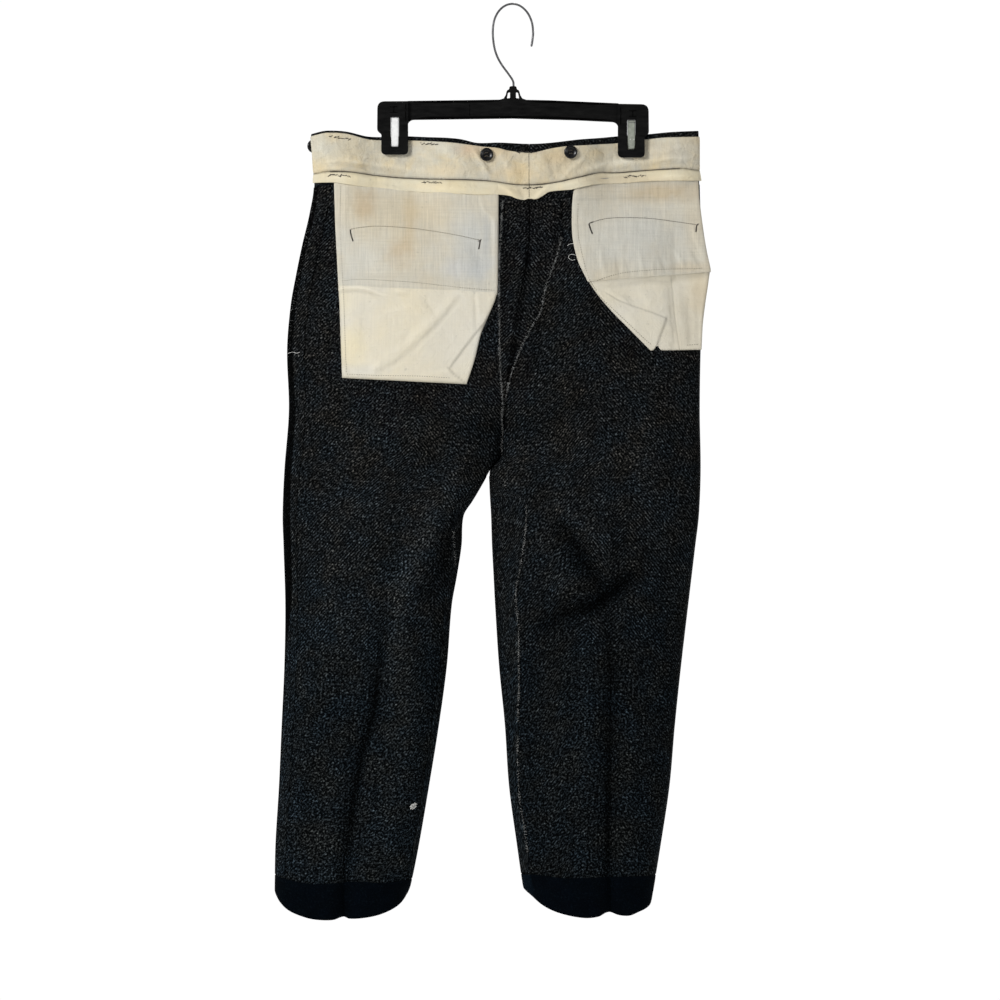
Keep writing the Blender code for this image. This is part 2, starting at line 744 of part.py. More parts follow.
def make_clips(collection, cutters):
    slit = LEAST + WOOL / 2 + LAY + COTTON + SEAM
    half = slit + JAW
    for side, outward in (("left", -1), ("right", 1)):
        bottom = CLIP_BOTTOM[side]
        corner = 4 * MM
        across = (
            (-CLIP_HALF_WIDTH, BAR_TOP),
            (CLIP_SHOULDER - corner, BAR_TOP),
            (CLIP_SHOULDER - corner * 0.3, BAR_TOP - corner * 0.3),
            (CLIP_SHOULDER, BAR_TOP - corner),
            (CLIP_SHOULDER, CLIP_STEP + corner * 0.5),
            (CLIP_SHOULDER - corner * 0.5, CLIP_STEP),
            (CLIP_HALF_WIDTH, CLIP_STEP),
            (CLIP_HALF_WIDTH, bottom + corner * 0.5),
            (CLIP_HALF_WIDTH - corner * 0.5, bottom),
            (-CLIP_HALF_WIDTH + corner * 0.5, bottom),
            (-CLIP_HALF_WIDTH, bottom + corner * 0.5),
        )
        window = (
            (-SLOT_HALF_WIDTH, SLOT_BOTTOM),
            (SLOT_HALF_WIDTH, SLOT_BOTTOM),
            (SLOT_HALF_WIDTH, SLOT_TOP),
            (-SLOT_HALF_WIDTH, SLOT_TOP),
        )
        outlines = [[(outward * (CLIP_X + x), z) for x, z in outline] for outline in (across, window)]
        clip = flat_piece(f"hanger_clip_{side}", outlines, half, "plastic", collection)
        low = (outward * CLIP_X - 2 * CLIP_HALF_WIDTH, -slit, bottom - JAW)
        high = (outward * CLIP_X + 2 * CLIP_HALF_WIDTH, slit, CLIP_MOUTH)
        mouth = box(f"clip_mouth_{side}", low, high, None, cutters)
        cut = clip.modifiers.new("Mouth", "BOOLEAN")
        cut.object = mouth
        inside = SLOT_HALF_WIDTH - SEAM
        centre = outward * CLIP_X
        low = (centre - inside, -half + 1.2 * MM, SLOT_BOTTOM + SEAM)
        high = (centre + inside, -half + 1.2 * MM + SPRING, SLOT_TOP - SEAM)
        box(f"clip_spring_{side}", low, high, "steel", collection)


def make_bar(collection):
    end = CLIP_X - CLIP_HALF_WIDTH - SEAM
    right = (
        (end, BAR_BOTTOM),
        (end, BAR_TOP - 1.5 * MM),
        (14 * MM, BAR_TOP),
        (10.5 * MM, BAR_TOP + 1.2 * MM),
        (8.2 * MM, BAR_TOP + 5 * MM),
        (7.4 * MM, BAR_TOP + 9 * MM),
        (4.2 * MM, BAR_TOP + 11.5 * MM),
        (4.0 * MM, NECK_TOP),
    )
    outline = list(right) + [(-x, z) for x, z in reversed(right)]
    windows = []
    for outward in (-1, 1):
        inner = 3.4 * MM
        outer = 5.8 * MM
        low = BAR_TOP + 2.0 * MM
        high = BAR_TOP + 8.0 * MM
        corners = ((inner, low), (outer + 0.8 * MM, low), (outer, high), (inner, high))
        windows.append([(outward * x, z) for x, z in corners])
    flat_piece("hanger_bar", [outline] + windows, BAR_HALF_DEPTH, "plastic", collection)


def smooth_route(points, steps):
    """Points on the smooth curve through some points, a few for each stretch."""
    route = []
    for k in range(len(points) - 1):
        before = points[max(0, k - 1)]
        start = points[k]
        end = points[k + 1]
        after = points[min(len(points) - 1, k + 2)]
        for i in range(steps):
            s = i / steps
            a = (2 * s ** 3 - 3 * s ** 2 + 1) * start + (3 * s ** 2 - 2 * s ** 3) * end
            b = (s ** 3 - 2 * s ** 2 + s) * (end - before) / 2 + (s ** 3 - s ** 2) * (after - start) / 2
            route.append(a + b)
    route.append(points[-1])
    return route


def make_hook(collection):
    points = [Vector((u * math.cos(HOOK_TURN), u * math.sin(HOOK_TURN), z)) * MM for u, z in HOOK_ROUTE]
    curve = bpy.data.curves.new("hanger_hook", "CURVE")
    curve.dimensions = "3D"
    curve.bevel_depth = WIRE / 2
    curve.bevel_resolution = 2
    curve.use_fill_caps = True
    route = smooth_route(points, HOOK_STEPS)
    spline = curve.splines.new("POLY")
    spline.points.add(len(route) - 1)
    for spline_point, point in zip(spline.points, route):
        spline_point.co = (*point, 1)
    add("hanger_hook", curve, "steel", collection)


def main():
    for old in list(bpy.data.objects):
        bpy.data.objects.remove(old)
    parts = bpy.data.collections.new("wool_trousers")
    cutters = bpy.data.collections.new("cutters")
    bpy.context.scene.collection.children.link(parts)
    bpy.context.scene.collection.children.link(cutters)
    make_panels(parts)
    make_waist(parts)
    make_allowances(parts)
    make_hem_bands(parts)
    make_inlays(parts)
    make_pockets(parts)
    make_fly(parts)
    make_buttons(parts, cutters)
    make_bar(parts)
    make_clips(parts, cutters)
    make_hook(parts)
    for cutter in cutters.objects:
        cutter.hide_render = True
        cutter.display_type = "WIRE"


main()
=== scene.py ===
import math
import random

import bmesh
import bpy
import numpy as np
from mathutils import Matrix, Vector


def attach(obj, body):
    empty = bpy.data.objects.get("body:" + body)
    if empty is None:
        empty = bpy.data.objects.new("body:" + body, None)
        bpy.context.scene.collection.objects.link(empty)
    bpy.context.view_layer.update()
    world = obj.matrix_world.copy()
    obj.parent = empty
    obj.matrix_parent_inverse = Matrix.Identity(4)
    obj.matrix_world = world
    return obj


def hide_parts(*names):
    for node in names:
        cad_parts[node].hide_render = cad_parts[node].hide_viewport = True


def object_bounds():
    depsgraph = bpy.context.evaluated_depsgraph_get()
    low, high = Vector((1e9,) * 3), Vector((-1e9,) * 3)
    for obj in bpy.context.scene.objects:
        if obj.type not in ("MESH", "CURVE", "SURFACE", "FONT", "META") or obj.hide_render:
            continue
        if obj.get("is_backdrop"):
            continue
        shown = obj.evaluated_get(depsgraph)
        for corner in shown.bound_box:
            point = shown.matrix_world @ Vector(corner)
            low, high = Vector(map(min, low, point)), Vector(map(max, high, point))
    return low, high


# Wool trousers turned inside out, back to the front, in a clip hanger.
# The seen back faces -Y. Left and right are as the camera sees them.
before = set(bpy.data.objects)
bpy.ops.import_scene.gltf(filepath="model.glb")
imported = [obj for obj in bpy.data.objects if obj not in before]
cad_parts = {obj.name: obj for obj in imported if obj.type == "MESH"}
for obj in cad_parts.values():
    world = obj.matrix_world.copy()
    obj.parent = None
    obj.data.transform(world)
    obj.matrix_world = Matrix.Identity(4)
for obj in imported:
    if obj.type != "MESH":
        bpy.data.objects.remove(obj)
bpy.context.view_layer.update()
mm = 0.001
inward = {"left": 1, "right": -1}  # the way along X from a side of the garment to its middle
quarters = [(side, face) for side in inward for face in ("back", "front")]
print("frame loaded:", len(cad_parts), "nodes")

# Places measured on the photograph are written in its pixels
picture = {"mmPerPixel": 1.125, "middleX": 513, "topY": 5}


def spot(px, py):
    scale = picture["mmPerPixel"] * mm
    return (px - picture["middleX"]) * scale, (picture["topY"] - py) * scale


def spots(*pairs):
    return np.array([spot(px, py) for px, py in pairs])


def ease(share):
    share = np.clip(share, 0, 1)
    return share * share * (3 - 2 * share)


def smooth(keys, values, at):  # the smooth curve through values, keys rising
    slopes = np.gradient(values, keys)
    slopes[1:-1] = (values[2:] - values[:-2]) / (keys[2:] - keys[:-2])
    at = np.clip(at, keys[0], keys[-1])
    k = np.clip(np.searchsorted(keys, at, side="right") - 1, 0, len(keys) - 2)
    step = keys[k + 1] - keys[k]
    s = (at - keys[k]) / step
    start = (1 + 2 * s) * (1 - s) ** 2 * values[k] + s * (1 - s) ** 2 * step * slopes[k]
    end = s * s * (3 - 2 * s) * values[k + 1] + s * s * (s - 1) * step * slopes[k + 1]
    return start + end


def table(names, *rows):  # named columns, from millimetres to metres
    return {name: np.array([row[k] for row in rows], float) * mm for k, name in enumerate(names.split())}


def along(rows, name, at, key="height"):
    keys = rows[key]
    values = rows[name]
    if keys[0] > keys[-1]:
        keys = keys[::-1]
        values = values[::-1]
    return smooth(keys, values, at)


# The garment's form, the same as the solids'
garment = {
    "seatEnd": -380 * mm, "fork": -507 * mm, "hem": -997 * mm,
    "hemDropStart": -955 * mm, "hemBandTop": -974.5 * mm, "roundness": 2.4,
    "pressed": 0.9 * mm,  # from the middle plane to a wall that lies on the other one
    "foldFull": 9 * mm, "creaseWidth": 11 * mm,
    "panelTop": -196 * mm, "panelLevel": -300 * mm,
}
grip = {"x": 133 * mm, "halfWidth": 17 * mm, "fade": 48 * mm, "drop": 95 * mm, "release": -176 * mm}
sections = table(
    "height left right depth",
    (-140, -227, 208, 15), (-203, -223, 209, 20), (-236, -228, 210, 24), (-270, -236, 211, 27),
    (-304, -243, 212, 29), (-338, -249, 212, 31), (-388, -253, 210, 33), (-456, -251, 209, 35),
    (-523, -256, 210, 35), (-574, -258, 208, 34), (-608, -257, 204, 34), (-675, -255, 196, 35),
    (-743, -256, 188, 36), (-810, -259, 181, 37), (-878, -262, 175, 38), (-945, -266, 165, 39),
    (-1000, -267, 156, 40),
)
centreSeam = table(
    "height x",
    (-140, 18), (-203, 18.5), (-270, 18), (-304, 13), (-338, 6), (-388, -2), (-456, -9.5), (-507, -12.8),
)
inseams = table(
    "height left right",
    (-507, -13.0, -12.6), (-515, -20.4, -19.6), (-523, -26.4, -25.2), (-540, -36, -25.4),
    (-557, -46, -24.6), (-574, -56.5, -23.6), (-608, -59, -22.5), (-641, -64, -20.8), (-675, -70, -19),
    (-743, -75.5, -14.6), (-810, -84.5, -8), (-878, -95.5, -3.4), (-945, -107, 5.6), (-989, -116, 12),
    (-1000, -120, 14.5),
)
pressedCreases = table(
    "height left right depth",
    (-600, -138, 100, 0), (-670, -144, 106, 1.5), (-760, -152, 108, 4), (-834, -167, 108, 6),
    (-910, -180, 109, 8), (-974, -188, 109, 10), (-1030, -190, 108, 12),
)
# A fold runs from one end to the other, with its width and its rise; a trough's rise is negative
largeFolds = {
    "back": (
        (-64, -537, -128, -662, 20, 6), (-160, -560, -196, -700, 24, 4), (60, -587, 104, -664, 13, -6),
        (51, -564, 97, -605, 12, 5), (112, -660, 138, -644, 10, -4), (34, -690, 70, -668, 10, -3),
        (-20, -486, -104, -448, 15, -4), (0, -478, 84, -452, 15, -4), (-60, -470, -170, -500, 16, 3),
        (60, -490, 150, -520, 16, 3), (-110, -790, -128, -900, 16, 4), (52, -760, 48, -900, 16, 4),
    ),
    "front": (
        (0, -470, 78, -545, 14, -5), (-20, -480, -96, -560, 14, -5), (60, -430, 140, -470, 16, 4),
        (-80, -430, -170, -480, 16, 4), (-100, -600, -128, -720, 18, 4), (60, -620, 84, -740, 18, 4),
    ),
}
smallFolds = {
    "back": (
        (-96, -560, -136, -660, 7, 1.2), (-128, -610, -146, -712, 9, -2.2), (-60, -520, -92, -566, 9, 1.5),
        (-30, -500, -58, -548, 8, -1.8), (-150, -470, -190, -590, 14, 1.8),
        (-225, -470, -228, -600, 9, -1.2), (-205, -640, -215, -760, 12, 1.4),
        (-120, -700, -116, -800, 10, 1.6), (-100, -720, -98, -860, 9, -1.6),
        (-215, -800, -222, -940, 14, -1.6), (-140, -820, -132, -960, 9, 1.5),
        (-198, -850, -206, -980, 9, 1.4), (50, -585, 76, -628, 6, -1.8), (72, -628, 104, -672, 6, -2.0),
        (34, -600, 62, -660, 10, 1.8), (100, -610, 112, -650, 9, 1.8), (112, -655, 150, -628, 7, -1.8),
        (88, -678, 128, -668, 9, -1.6), (16, -530, 40, -572, 9, -1.6), (0, -520, 6, -600, 8, 1.0),
        (140, -480, 158, -590, 14, 1.6), (178, -430, 186, -560, 12, -1.4), (70, -470, 96, -540, 12, 1.4),
        (150, -650, 158, -800, 14, 1.5), (84, -720, 84, -860, 9, 1.6), (20, -740, 24, -860, 10, -1.4),
        (132, -800, 134, -960, 10, 1.4), (76, -880, 74, -990, 8, 1.5), (30, -900, 40, -985, 9, -1.2),
        (-60, -440, -44, -500, 12, 1.2),
    ),
    "front": (
        (-30, -470, -150, -430, 14, 2), (30, -470, 150, -440, 14, 2), (-150, -560, -180, -700, 14, 1.8),
        (120, -560, 150, -700, 14, 1.8), (-110, -820, -120, -960, 12, 1.8), (40, -820, 48, -960, 12, 1.8),
        (-220, -600, -226, -780, 12, -1.6), (170, -600, 166, -760, 12, -1.6), (0, -300, 60, -360, 12, -1.6),
        (-60, -300, -110, -380, 14, 1.6), (-20, -540, -70, -640, 10, -2), (20, -560, 60, -660, 10, -2),
    ),
}
# Slow waves of the hanging cloth: wave numbers across and down, amplitude in mm, phase
drape = ((61, 9, 0.34, 0.4), (38, 21, 0.36, 2.1), (87, 33, 0.2, 4.2), (52, 70, 0.16, 5.3),
    (23, 48, 0.24, 1.2))

# The hem's lower edge and the top of its band, as the back shows them
hemLines = {
    "left": spots((275, 888), (276.5, 893), (281, 901), (289, 908.6), (302.5, 914.6), (316, 917.8),
        (333.5, 918.2), (341, 915.6), (345.5, 915), (351, 917), (370, 915.4), (385, 911.4), (398, 904.6),
        (405, 897), (409, 888)),
    "right": spots((524, 886), (529, 892), (543, 904), (559.5, 911.4), (583, 916), (598, 914.8), (605, 911),
        (611, 910.6), (619, 913.4), (629, 914), (637, 911), (647, 906), (651, 900), (652, 890)),
}
bandLines = {
    "left": spots((275, 874.5), (286.4, 878), (306, 882), (320, 883), (340, 881.6), (363, 880.4),
        (384, 882), (409, 879)),
    "right": spots((524, 874), (535, 873.6), (566, 877), (604, 876), (652, 875)),
}


def edgesAt(side, z):
    inner = np.where(z > garment["fork"], along(centreSeam, "x", z), along(inseams, side, z))
    return along(sections, side, z), inner


def fullness(t, z):
    leg = ease((garment["seatEnd"] - z) / (garment["seatEnd"] - garment["fork"]))
    closed = np.sqrt(np.maximum(0, 1 - np.abs(2 * t - 1) ** garment["roundness"]))
    opened = np.sqrt(np.maximum(0, 1 - (1 - t) ** garment["roundness"]))
    return opened + (closed - opened) * leg


def looseness(x, z):  # 0 where a clip presses the waist flat
    beside = ease((np.abs(np.abs(x) - grip["x"]) - grip["halfWidth"]) / grip["fade"])
    below = ease((grip["release"] - z) / grip["drop"])
    return 1 - (1 - beside) * (1 - below)


def foldRise(folds, x, z, unit=mm):
    total = 0 * x
    for x1, z1, x2, z2, width, rise in folds:
        lineX = (x2 - x1) * unit
        lineZ = (z2 - z1) * unit
        awayX = x - x1 * unit
        awayZ = z - z1 * unit
        share = np.clip((awayX * lineX + awayZ * lineZ) / (lineX ** 2 + lineZ ** 2), 0, 1)
        distance = np.hypot(awayX - lineX * share, awayZ - lineZ * share)
        total = total + rise * mm * np.exp(-(distance / (width * unit)) ** 2)
    return total


def nearLine(line, x,
        z):  # distance to a line through points, the side it lies on, and the share run along it
    best = np.full(np.shape(x), 1e9)
    sideOf = np.zeros(np.shape(x))
    run = np.zeros(np.shape(x))
    for k in range(len(line) - 1):
        dx, dz = line[k + 1] - line[k]
        share = np.clip(((x - line[k][0]) * dx + (z - line[k][1]) * dz) / (dx * dx + dz * dz), 0, 1)
        distance = np.hypot(x - line[k][0] - dx * share, z - line[k][1] - dz * share)
        nearer = distance < best
        sideOf = np.where(nearer, np.sign((z - line[k][1]) * dx - (x - line[k][0]) * dz), sideOf)
        run = np.where(nearer, (k + share) / (len(line) - 1), run)
        best = np.where(nearer, distance, best)
    return best, sideOf, run


def creaseRise(creases, x, z, unit=mm):  # creases: the points, the width and the rise, in pixels and mm
    total = 0 * x
    for points, width, rise in creases:
        distance, sideOf, run = nearLine(spots(*points), x, z)
        fade = 1 - 0.65 * np.abs(2 * run - 1) ** 3
        total = total + rise * unit * fade * np.exp(-(distance / (width * picture["mmPerPixel"] * mm)) ** 2)
    return total


def waves(x, z):
    return sum(size * mm * np.sin(kx * x + kz * z + phase) for kx, kz, size, phase in drape)


def clothDepth(side, face, x, z):  # from the middle plane to the middle of the wool wall
    outer, inner = edgesAt(side, z)
    t = np.clip((x - outer) / (inner - outer), 0, 1)
    depth = along(sections, "depth", z) * fullness(t, z)
    depth = garment["pressed"] + np.maximum(0, depth - garment["pressed"]) * looseness(x, z)
    away = (x - along(pressedCreases, side, z)) / garment["creaseWidth"]
    valley = along(pressedCreases, "depth",
        z) * (0.55 * np.exp(-away ** 2) + 0.45 * np.exp(-(away / 0.42) ** 2))
    folds = foldRise(largeFolds[face], x, z) + foldRise(smallFolds[face], x, z) + waves(x, z) - valley
    return np.maximum(garment["pressed"], depth + folds * ease(depth / garment["foldFull"]))


def placed(side, face, t, z):
    outer, inner = edgesAt(side, z)
    x = outer + (inner - outer) * t
    y = clothDepth(side, face, x, z)
    return np.stack([x, y if face == "front" else -y, z], -1)


# Lines of the waist, from the side to the centre and out again
waistLines = {
    "rim": spots((311, 135), (320, 132.4), (330, 130.5), (349, 131.5), (372, 136.5), (409, 136),
        (430, 137), (450, 138), (463, 139.5), (478, 143), (500, 142.7), (529, 144), (550, 143),
        (580, 139.5), (600, 137.8), (618, 136), (650, 133.8), (670, 132), (698, 130.6)),
    "facing": spots((311, 136.4), (320, 133.6), (330, 131.7), (349, 132.7), (372, 138.4), (409, 139),
        (450, 141.5), (470, 144), (485, 146), (497, 147), (510, 150), (529, 152), (537, 151.2), (550, 148),
        (565, 145.7), (585, 144.4), (600, 143.2), (618, 141.9), (643, 138.6), (660, 136.8), (680, 136),
        (698, 135.5)),
    "seam": spots((314, 174.6), (330, 171.8), (350, 172.5), (372, 175.5), (400, 178.3), (440, 180),
        (470, 180.6), (490, 182), (512, 185), (529, 185.7), (550, 184), (570, 180), (590, 175),
        (600, 173.5), (620, 173), (650, 170.5), (680, 169), (698, 171)),
    "curtain": spots((314, 183), (335, 183), (350, 185.5), (372, 188.5), (400, 191.5),
        (430, 193.6), (460, 195), (480, 195.8), (500, 195.6), (510, 197), (517, 199.8), (524, 200.8),
        (529, 199.7), (536, 200.2), (542, 197.2), (548, 193.2), (556, 191.6), (570, 190.6), (575, 189.5),
        (590, 186), (600, 184.8), (620, 184), (640, 182.5), (660, 181.5), (698, 181)),
}


def waistHeight(side, t, line):
    outer, inner = edgesAt(side, np.full_like(t, garment["panelTop"]))
    return smooth(waistLines[line][:, 0], waistLines[line][:, 1], outer + (inner - outer) * t)


def clothGrid(side, face, shares, levels):
    t, level = np.meshgrid(np.asarray(shares, float), np.asarray(levels, float))
    outer, inner = edgesAt(side, level)
    x = outer + (inner - outer) * t
    follow = ease((level - garment["panelLevel"]) / (garment["panelTop"] - garment["panelLevel"]))
    waist = waistHeight(side, t, "seam") - 2 * mm - garment["panelTop"]
    z = level + follow * waist
    # Below hemDropStart the levels spread out to the band's top and the hem's lower edge
    bandTop = smooth(bandLines[side][:, 0], bandLines[side][:, 1], x)
    lowest = smooth(hemLines[side][:, 0], hemLines[side][:, 1], x)
    toBand = (garment["hemDropStart"] - level) / (garment["hemDropStart"] - garment["hemBandTop"])
    toHem = (garment["hemBandTop"] - level) / (garment["hemBandTop"] - garment["hem"])
    z = np.where(toBand > 0,
        garment["hemDropStart"] + (bandTop - garment["hemDropStart"]) * np.minimum(toBand, 1), z)
    z = np.where(toHem > 0, bandTop + (lowest - bandTop) * toHem, z)
    return placed(side, face, t, z)


def seamed(side, face, grid, thickness, gap=-0.05 * mm):  # both ends of each row stop at the seams
    for end, beside in ((0, 1), (-1, -2)):
        turn = grid[:, beside] - grid[:, end]
        length = np.hypot(turn[:, 0], turn[:, 1])
        z = grid[:, end, 2]
        atSeam = gap + np.abs(turn[:, 1]) / length * thickness / 2
        atSide = gap + np.abs(turn[:, 0]) / length * thickness / 2
        onCentre = (z > garment["fork"]) & (end == -1)
        grid[:, end, 0] = np.where(onCentre, along(centreSeam, "x", z) - inward[side] * atSeam,
            grid[:, end, 0])
        grid[:, end, 1] = np.where(onCentre, grid[:, end, 1], atSide if face == "front" else -atSide)
    return grid


def raised(grid, side, face, lift):  # the grid moved out of the garment along its own normals
    normal = np.cross(np.gradient(grid, axis=1), np.gradient(grid, axis=0))
    normal /= np.linalg.norm(normal, axis=2, keepdims=True)
    if (side == "left") != (face == "front"):
        normal = -normal
    lift = np.broadcast_to(np.asarray(lift, float), grid.shape[:2])
    return grid + normal * lift[..., None]


def withinSides(grid, side, over=0.7 * mm):  # a raised piece doesn't widen the leg
    outer, inner = (edge * inward[side] for edge in edgesAt(side, grid[..., 2]))
    grid[..., 0] = np.clip(grid[..., 0] * inward[side], outer - over, inner + over) * inward[side]
    return grid


def lying(side, face, x, z, lift, inset=0.0):  # points that lie on the wool, by their X and Z
    outer, inner = edgesAt(side, z)
    way = np.where(inner > outer, 1, -1)

    def depth(px, pz):
        kept = np.maximum(px * way, (outer + way * inset) * way) * way
        return clothDepth(side, face, kept, pz)

    probe = 2 * mm
    out = 1 if face == "front" else -1
    slopeX = (depth(x + probe, z) - depth(x - probe, z)) / (2 * probe)
    slopeZ = (depth(x, z + probe) - depth(x, z - probe)) / (2 * probe)
    normal = np.stack([-slopeX, np.full_like(slopeX, out), -slopeZ], -1)
    normal /= np.linalg.norm(normal, axis=-1, keepdims=True)
    lift = np.broadcast_to(np.asarray(lift, float), x.shape)
    return np.stack([x, out * depth(x, z), z], -1) + normal * lift[..., None]


def onBack(x, z, lift, inset=0.0):  # the same for the whole seen side
    x = np.asarray(x, float)
    z = np.asarray(z, float)
    split = np.where(z > garment["fork"], along(centreSeam, "x", z),
        (along(inseams, "left", z) + along(inseams, "right", z)) / 2)
    left = lying("left", "back", x, z, lift, inset)
    right = lying("right", "back", x, z, lift, inset)
    return np.where((x < split)[..., None], left, right)


# Shader nodes
def feed(tree, socket, value):
    if isinstance(value, bpy.types.NodeSocket):
        tree.links.new(value, socket)
    else:
        socket.default_value = value


def addNode(tree, kind, **inputs):
    made = tree.nodes.new("ShaderNode" + kind)
    for name, value in inputs.items():
        feed(tree, made.inputs[name.replace("_", " ")], value)
    return made


def calc(tree, operation, *values):
    made = tree.nodes.new("ShaderNodeMath")
    made.operation = operation
    for socket, value in zip(made.inputs, values):
        feed(tree, socket, value)
    return made.outputs[0]


def times(tree, *values):
    return calc(tree, "MULTIPLY", *values)


def timesPlus(tree, *values):
    return calc(tree, "MULTIPLY_ADD", *values)


def minus(tree, *values):
    return calc(tree, "SUBTRACT", *values)


def shift(tree, operation, *values):  # vector maths
    made = tree.nodes.new("ShaderNodeVectorMath")
    made.operation = operation
    for socket, value in zip(made.inputs, values):
        feed(tree, socket, value)
    return made.outputs["Value"] if operation == "LENGTH" else made.outputs["Vector"]


def spread(tree, value, low, high, newLow=0.0, newHigh=1.0):
    made = addNode(tree, "MapRange")
    for socket, number in zip(made.inputs, (value, low, high, newLow, newHigh)):
        feed(tree, socket, number)
    return made.outputs[0]


def blend(tree, share, first, second, kind="MIX"):
    made = tree.nodes.new("ShaderNodeMix")
    made.data_type = "RGBA"
    made.blend_type = kind
    for index, value in ((0, share), (6, first), (7, second)):
        feed(tree, made.inputs[index], (*value, 1) if isinstance(value,
                tuple) and len(value) == 3 else value)
    return made.outputs[2]


def grainNoise(tree, place, scale, detail=2.0, roughness=0.5, distortion=0.0):
    made = addNode(tree, "TexNoise", Vector=place, Scale=scale, Detail=detail, Roughness=roughness,
        Distortion=distortion)
    return made.outputs[0]


def stretched(tree, place, x, y, z=1.0):
    return shift(tree, "MULTIPLY", place, (x, y, z))


def newGroup(name, inputs, outputs):
    group = bpy.data.node_groups.new(name, "ShaderNodeTree")
    for label, kind, value in inputs:
        socket = group.interface.new_socket(label, in_out="INPUT", socket_type="NodeSocket" + kind)
        if value is not None:
            socket.default_value = value
    for label, kind in outputs:
        group.interface.new_socket(label, in_out="OUTPUT", socket_type="NodeSocket" + kind)
    return group, group.nodes.new("NodeGroupInput").outputs, group.nodes.new("NodeGroupOutput").inputs


def useGroup(tree, group, **inputs):
    made = tree.nodes.new("ShaderNodeGroup")
    made.node_tree = group
    for name, value in inputs.items():
        feed(tree, made.inputs[name.replace("_", " ")], value)
    return made.outputs


# Twill: slanted streaks that turn over from one stretch to the next, broken into salt-and-pepper flecks
twillWeave, given, result = newGroup(
    "twillWeave",
    (("Place", "Vector", None), ("Pitch", "Float", 0.0027), ("Lean", "Float", 0.0),
        ("Clarity", "Float", 1.0), ("Fleck Scale", "Float", 440.0)),
    (("Streaks", "Float"), ("Flecks", "Float"), ("Height", "Float")),
)
twill = {"bandWidth": 0.062, "slope": 0.86, "steepness": 0.76, "jitter": 0.0016, "dashesAcross": 430.0,
    "dashesAlong": 150.0}
tree = twillWeave
place = given["Place"]
parts = addNode(tree, "SeparateXYZ", Vector=place).outputs
wander = minus(tree, grainNoise(tree, stretched(tree, place, 20.0, 6.0), 1.0, 2.0), 0.5)
bandTurn = calc(tree, "SINE", timesPlus(tree, parts[0], math.tau / twill["bandWidth"],
        times(tree, wander, 9.0)))
leaning = timesPlus(tree, bandTurn, 0.45, timesPlus(tree, wander, 3.0, given["Lean"]))
slashShare = spread(tree, leaning, -0.1, 0.1)
straight = minus(tree, 1.0, slashShare)
jitter = times(tree, minus(tree, grainNoise(tree, place, 140.0, 2.0), 0.5), twill["jitter"])
streaks = []
dashes = []
for sign in (-1.0, 1.0):
    slant = timesPlus(tree, parts[1], sign * twill["slope"], parts[0])
    lengthwise = timesPlus(tree, parts[0], -sign * twill["slope"], parts[1])
    turn = timesPlus(tree, slant, twill["steepness"], jitter)
    turn = times(tree, calc(tree, "DIVIDE", turn, given["Pitch"]), math.tau)
    streaks.append(timesPlus(tree, calc(tree, "SINE", turn), 0.5, 0.5))
    drawn = addNode(tree, "CombineXYZ", X=times(tree, slant, twill["dashesAcross"]),
        Y=times(tree, lengthwise, twill["dashesAlong"])).outputs[0]
    dashes.append(spread(tree, grainNoise(tree, drawn, 1.0, 1.5, 0.5), 0.36, 0.66))
streak, dash = (timesPlus(tree, pair[1], slashShare, times(tree, pair[0], straight)) for pair in (streaks,
        dashes))
dashed = timesPlus(tree, dash, 0.85, 0.08)
pepper = spread(tree, grainNoise(tree, place, given["Fleck Scale"], 1.0, 0.5), 0.43, 0.70)
lined = times(tree, calc(tree, "POWER", streak, 2.3), dashed)
lined = times(tree, lined, timesPlus(tree, pepper, 1.15, 0.14))
speckled = times(tree, calc(tree, "POWER", pepper, 1.4), dashed)
dullShare = timesPlus(tree, given["Clarity"], -0.72, 0.95)
feed(tree, result["Streaks"], timesPlus(tree, lined, given["Clarity"], times(tree, speckled, dullShare)))
feed(tree, result["Flecks"], spread(tree, grainNoise(tree, place, 440.0, 1.0, 0.5), 0.71, 0.80))
feed(tree, result["Height"], timesPlus(tree, streak, given["Clarity"], pepper))

# Plain weave: crossing threads, some of them thicker, so that single lines show
plainWeave, given, result = newGroup(
    "plainWeave",
    (("Place", "Vector", None), ("Thread", "Float", 0.0009), ("Slub", "Float", 0.5)),
    (("Threads", "Float"), ("Slubs", "Float"), ("Height", "Float")),
)
slubs = {"along": (620.0, 26.0, 300.0), "across": (22.0, 560.0, 300.0), "alongShare": 0.66,
    "acrossShare": 0.34}
tree = plainWeave
parts = addNode(tree, "SeparateXYZ", Vector=given["Place"]).outputs
rows = [
    calc(tree, "SINE", times(tree, calc(tree, "DIVIDE", part, given["Thread"]), math.tau))
    for part in parts[:2]]
crossing = timesPlus(tree, times(tree, *rows), 0.5, 0.5)
lengthwise, crosswise = (
    grainNoise(tree, stretched(tree, given["Place"], *slubs[way]), 1.0, 3.0, 0.65)
    for way in ("along", "across"))
lines = timesPlus(tree, lengthwise, slubs["alongShare"], times(tree, crosswise, slubs["acrossShare"]))
feed(tree, result["Threads"], crossing)
feed(tree, result["Slubs"], times(tree, spread(tree, lines, 0.36, 0.64), given["Slub"]))
feed(tree, result["Height"], timesPlus(tree, crossing, 0.35, times(tree, lines, 1.3)))

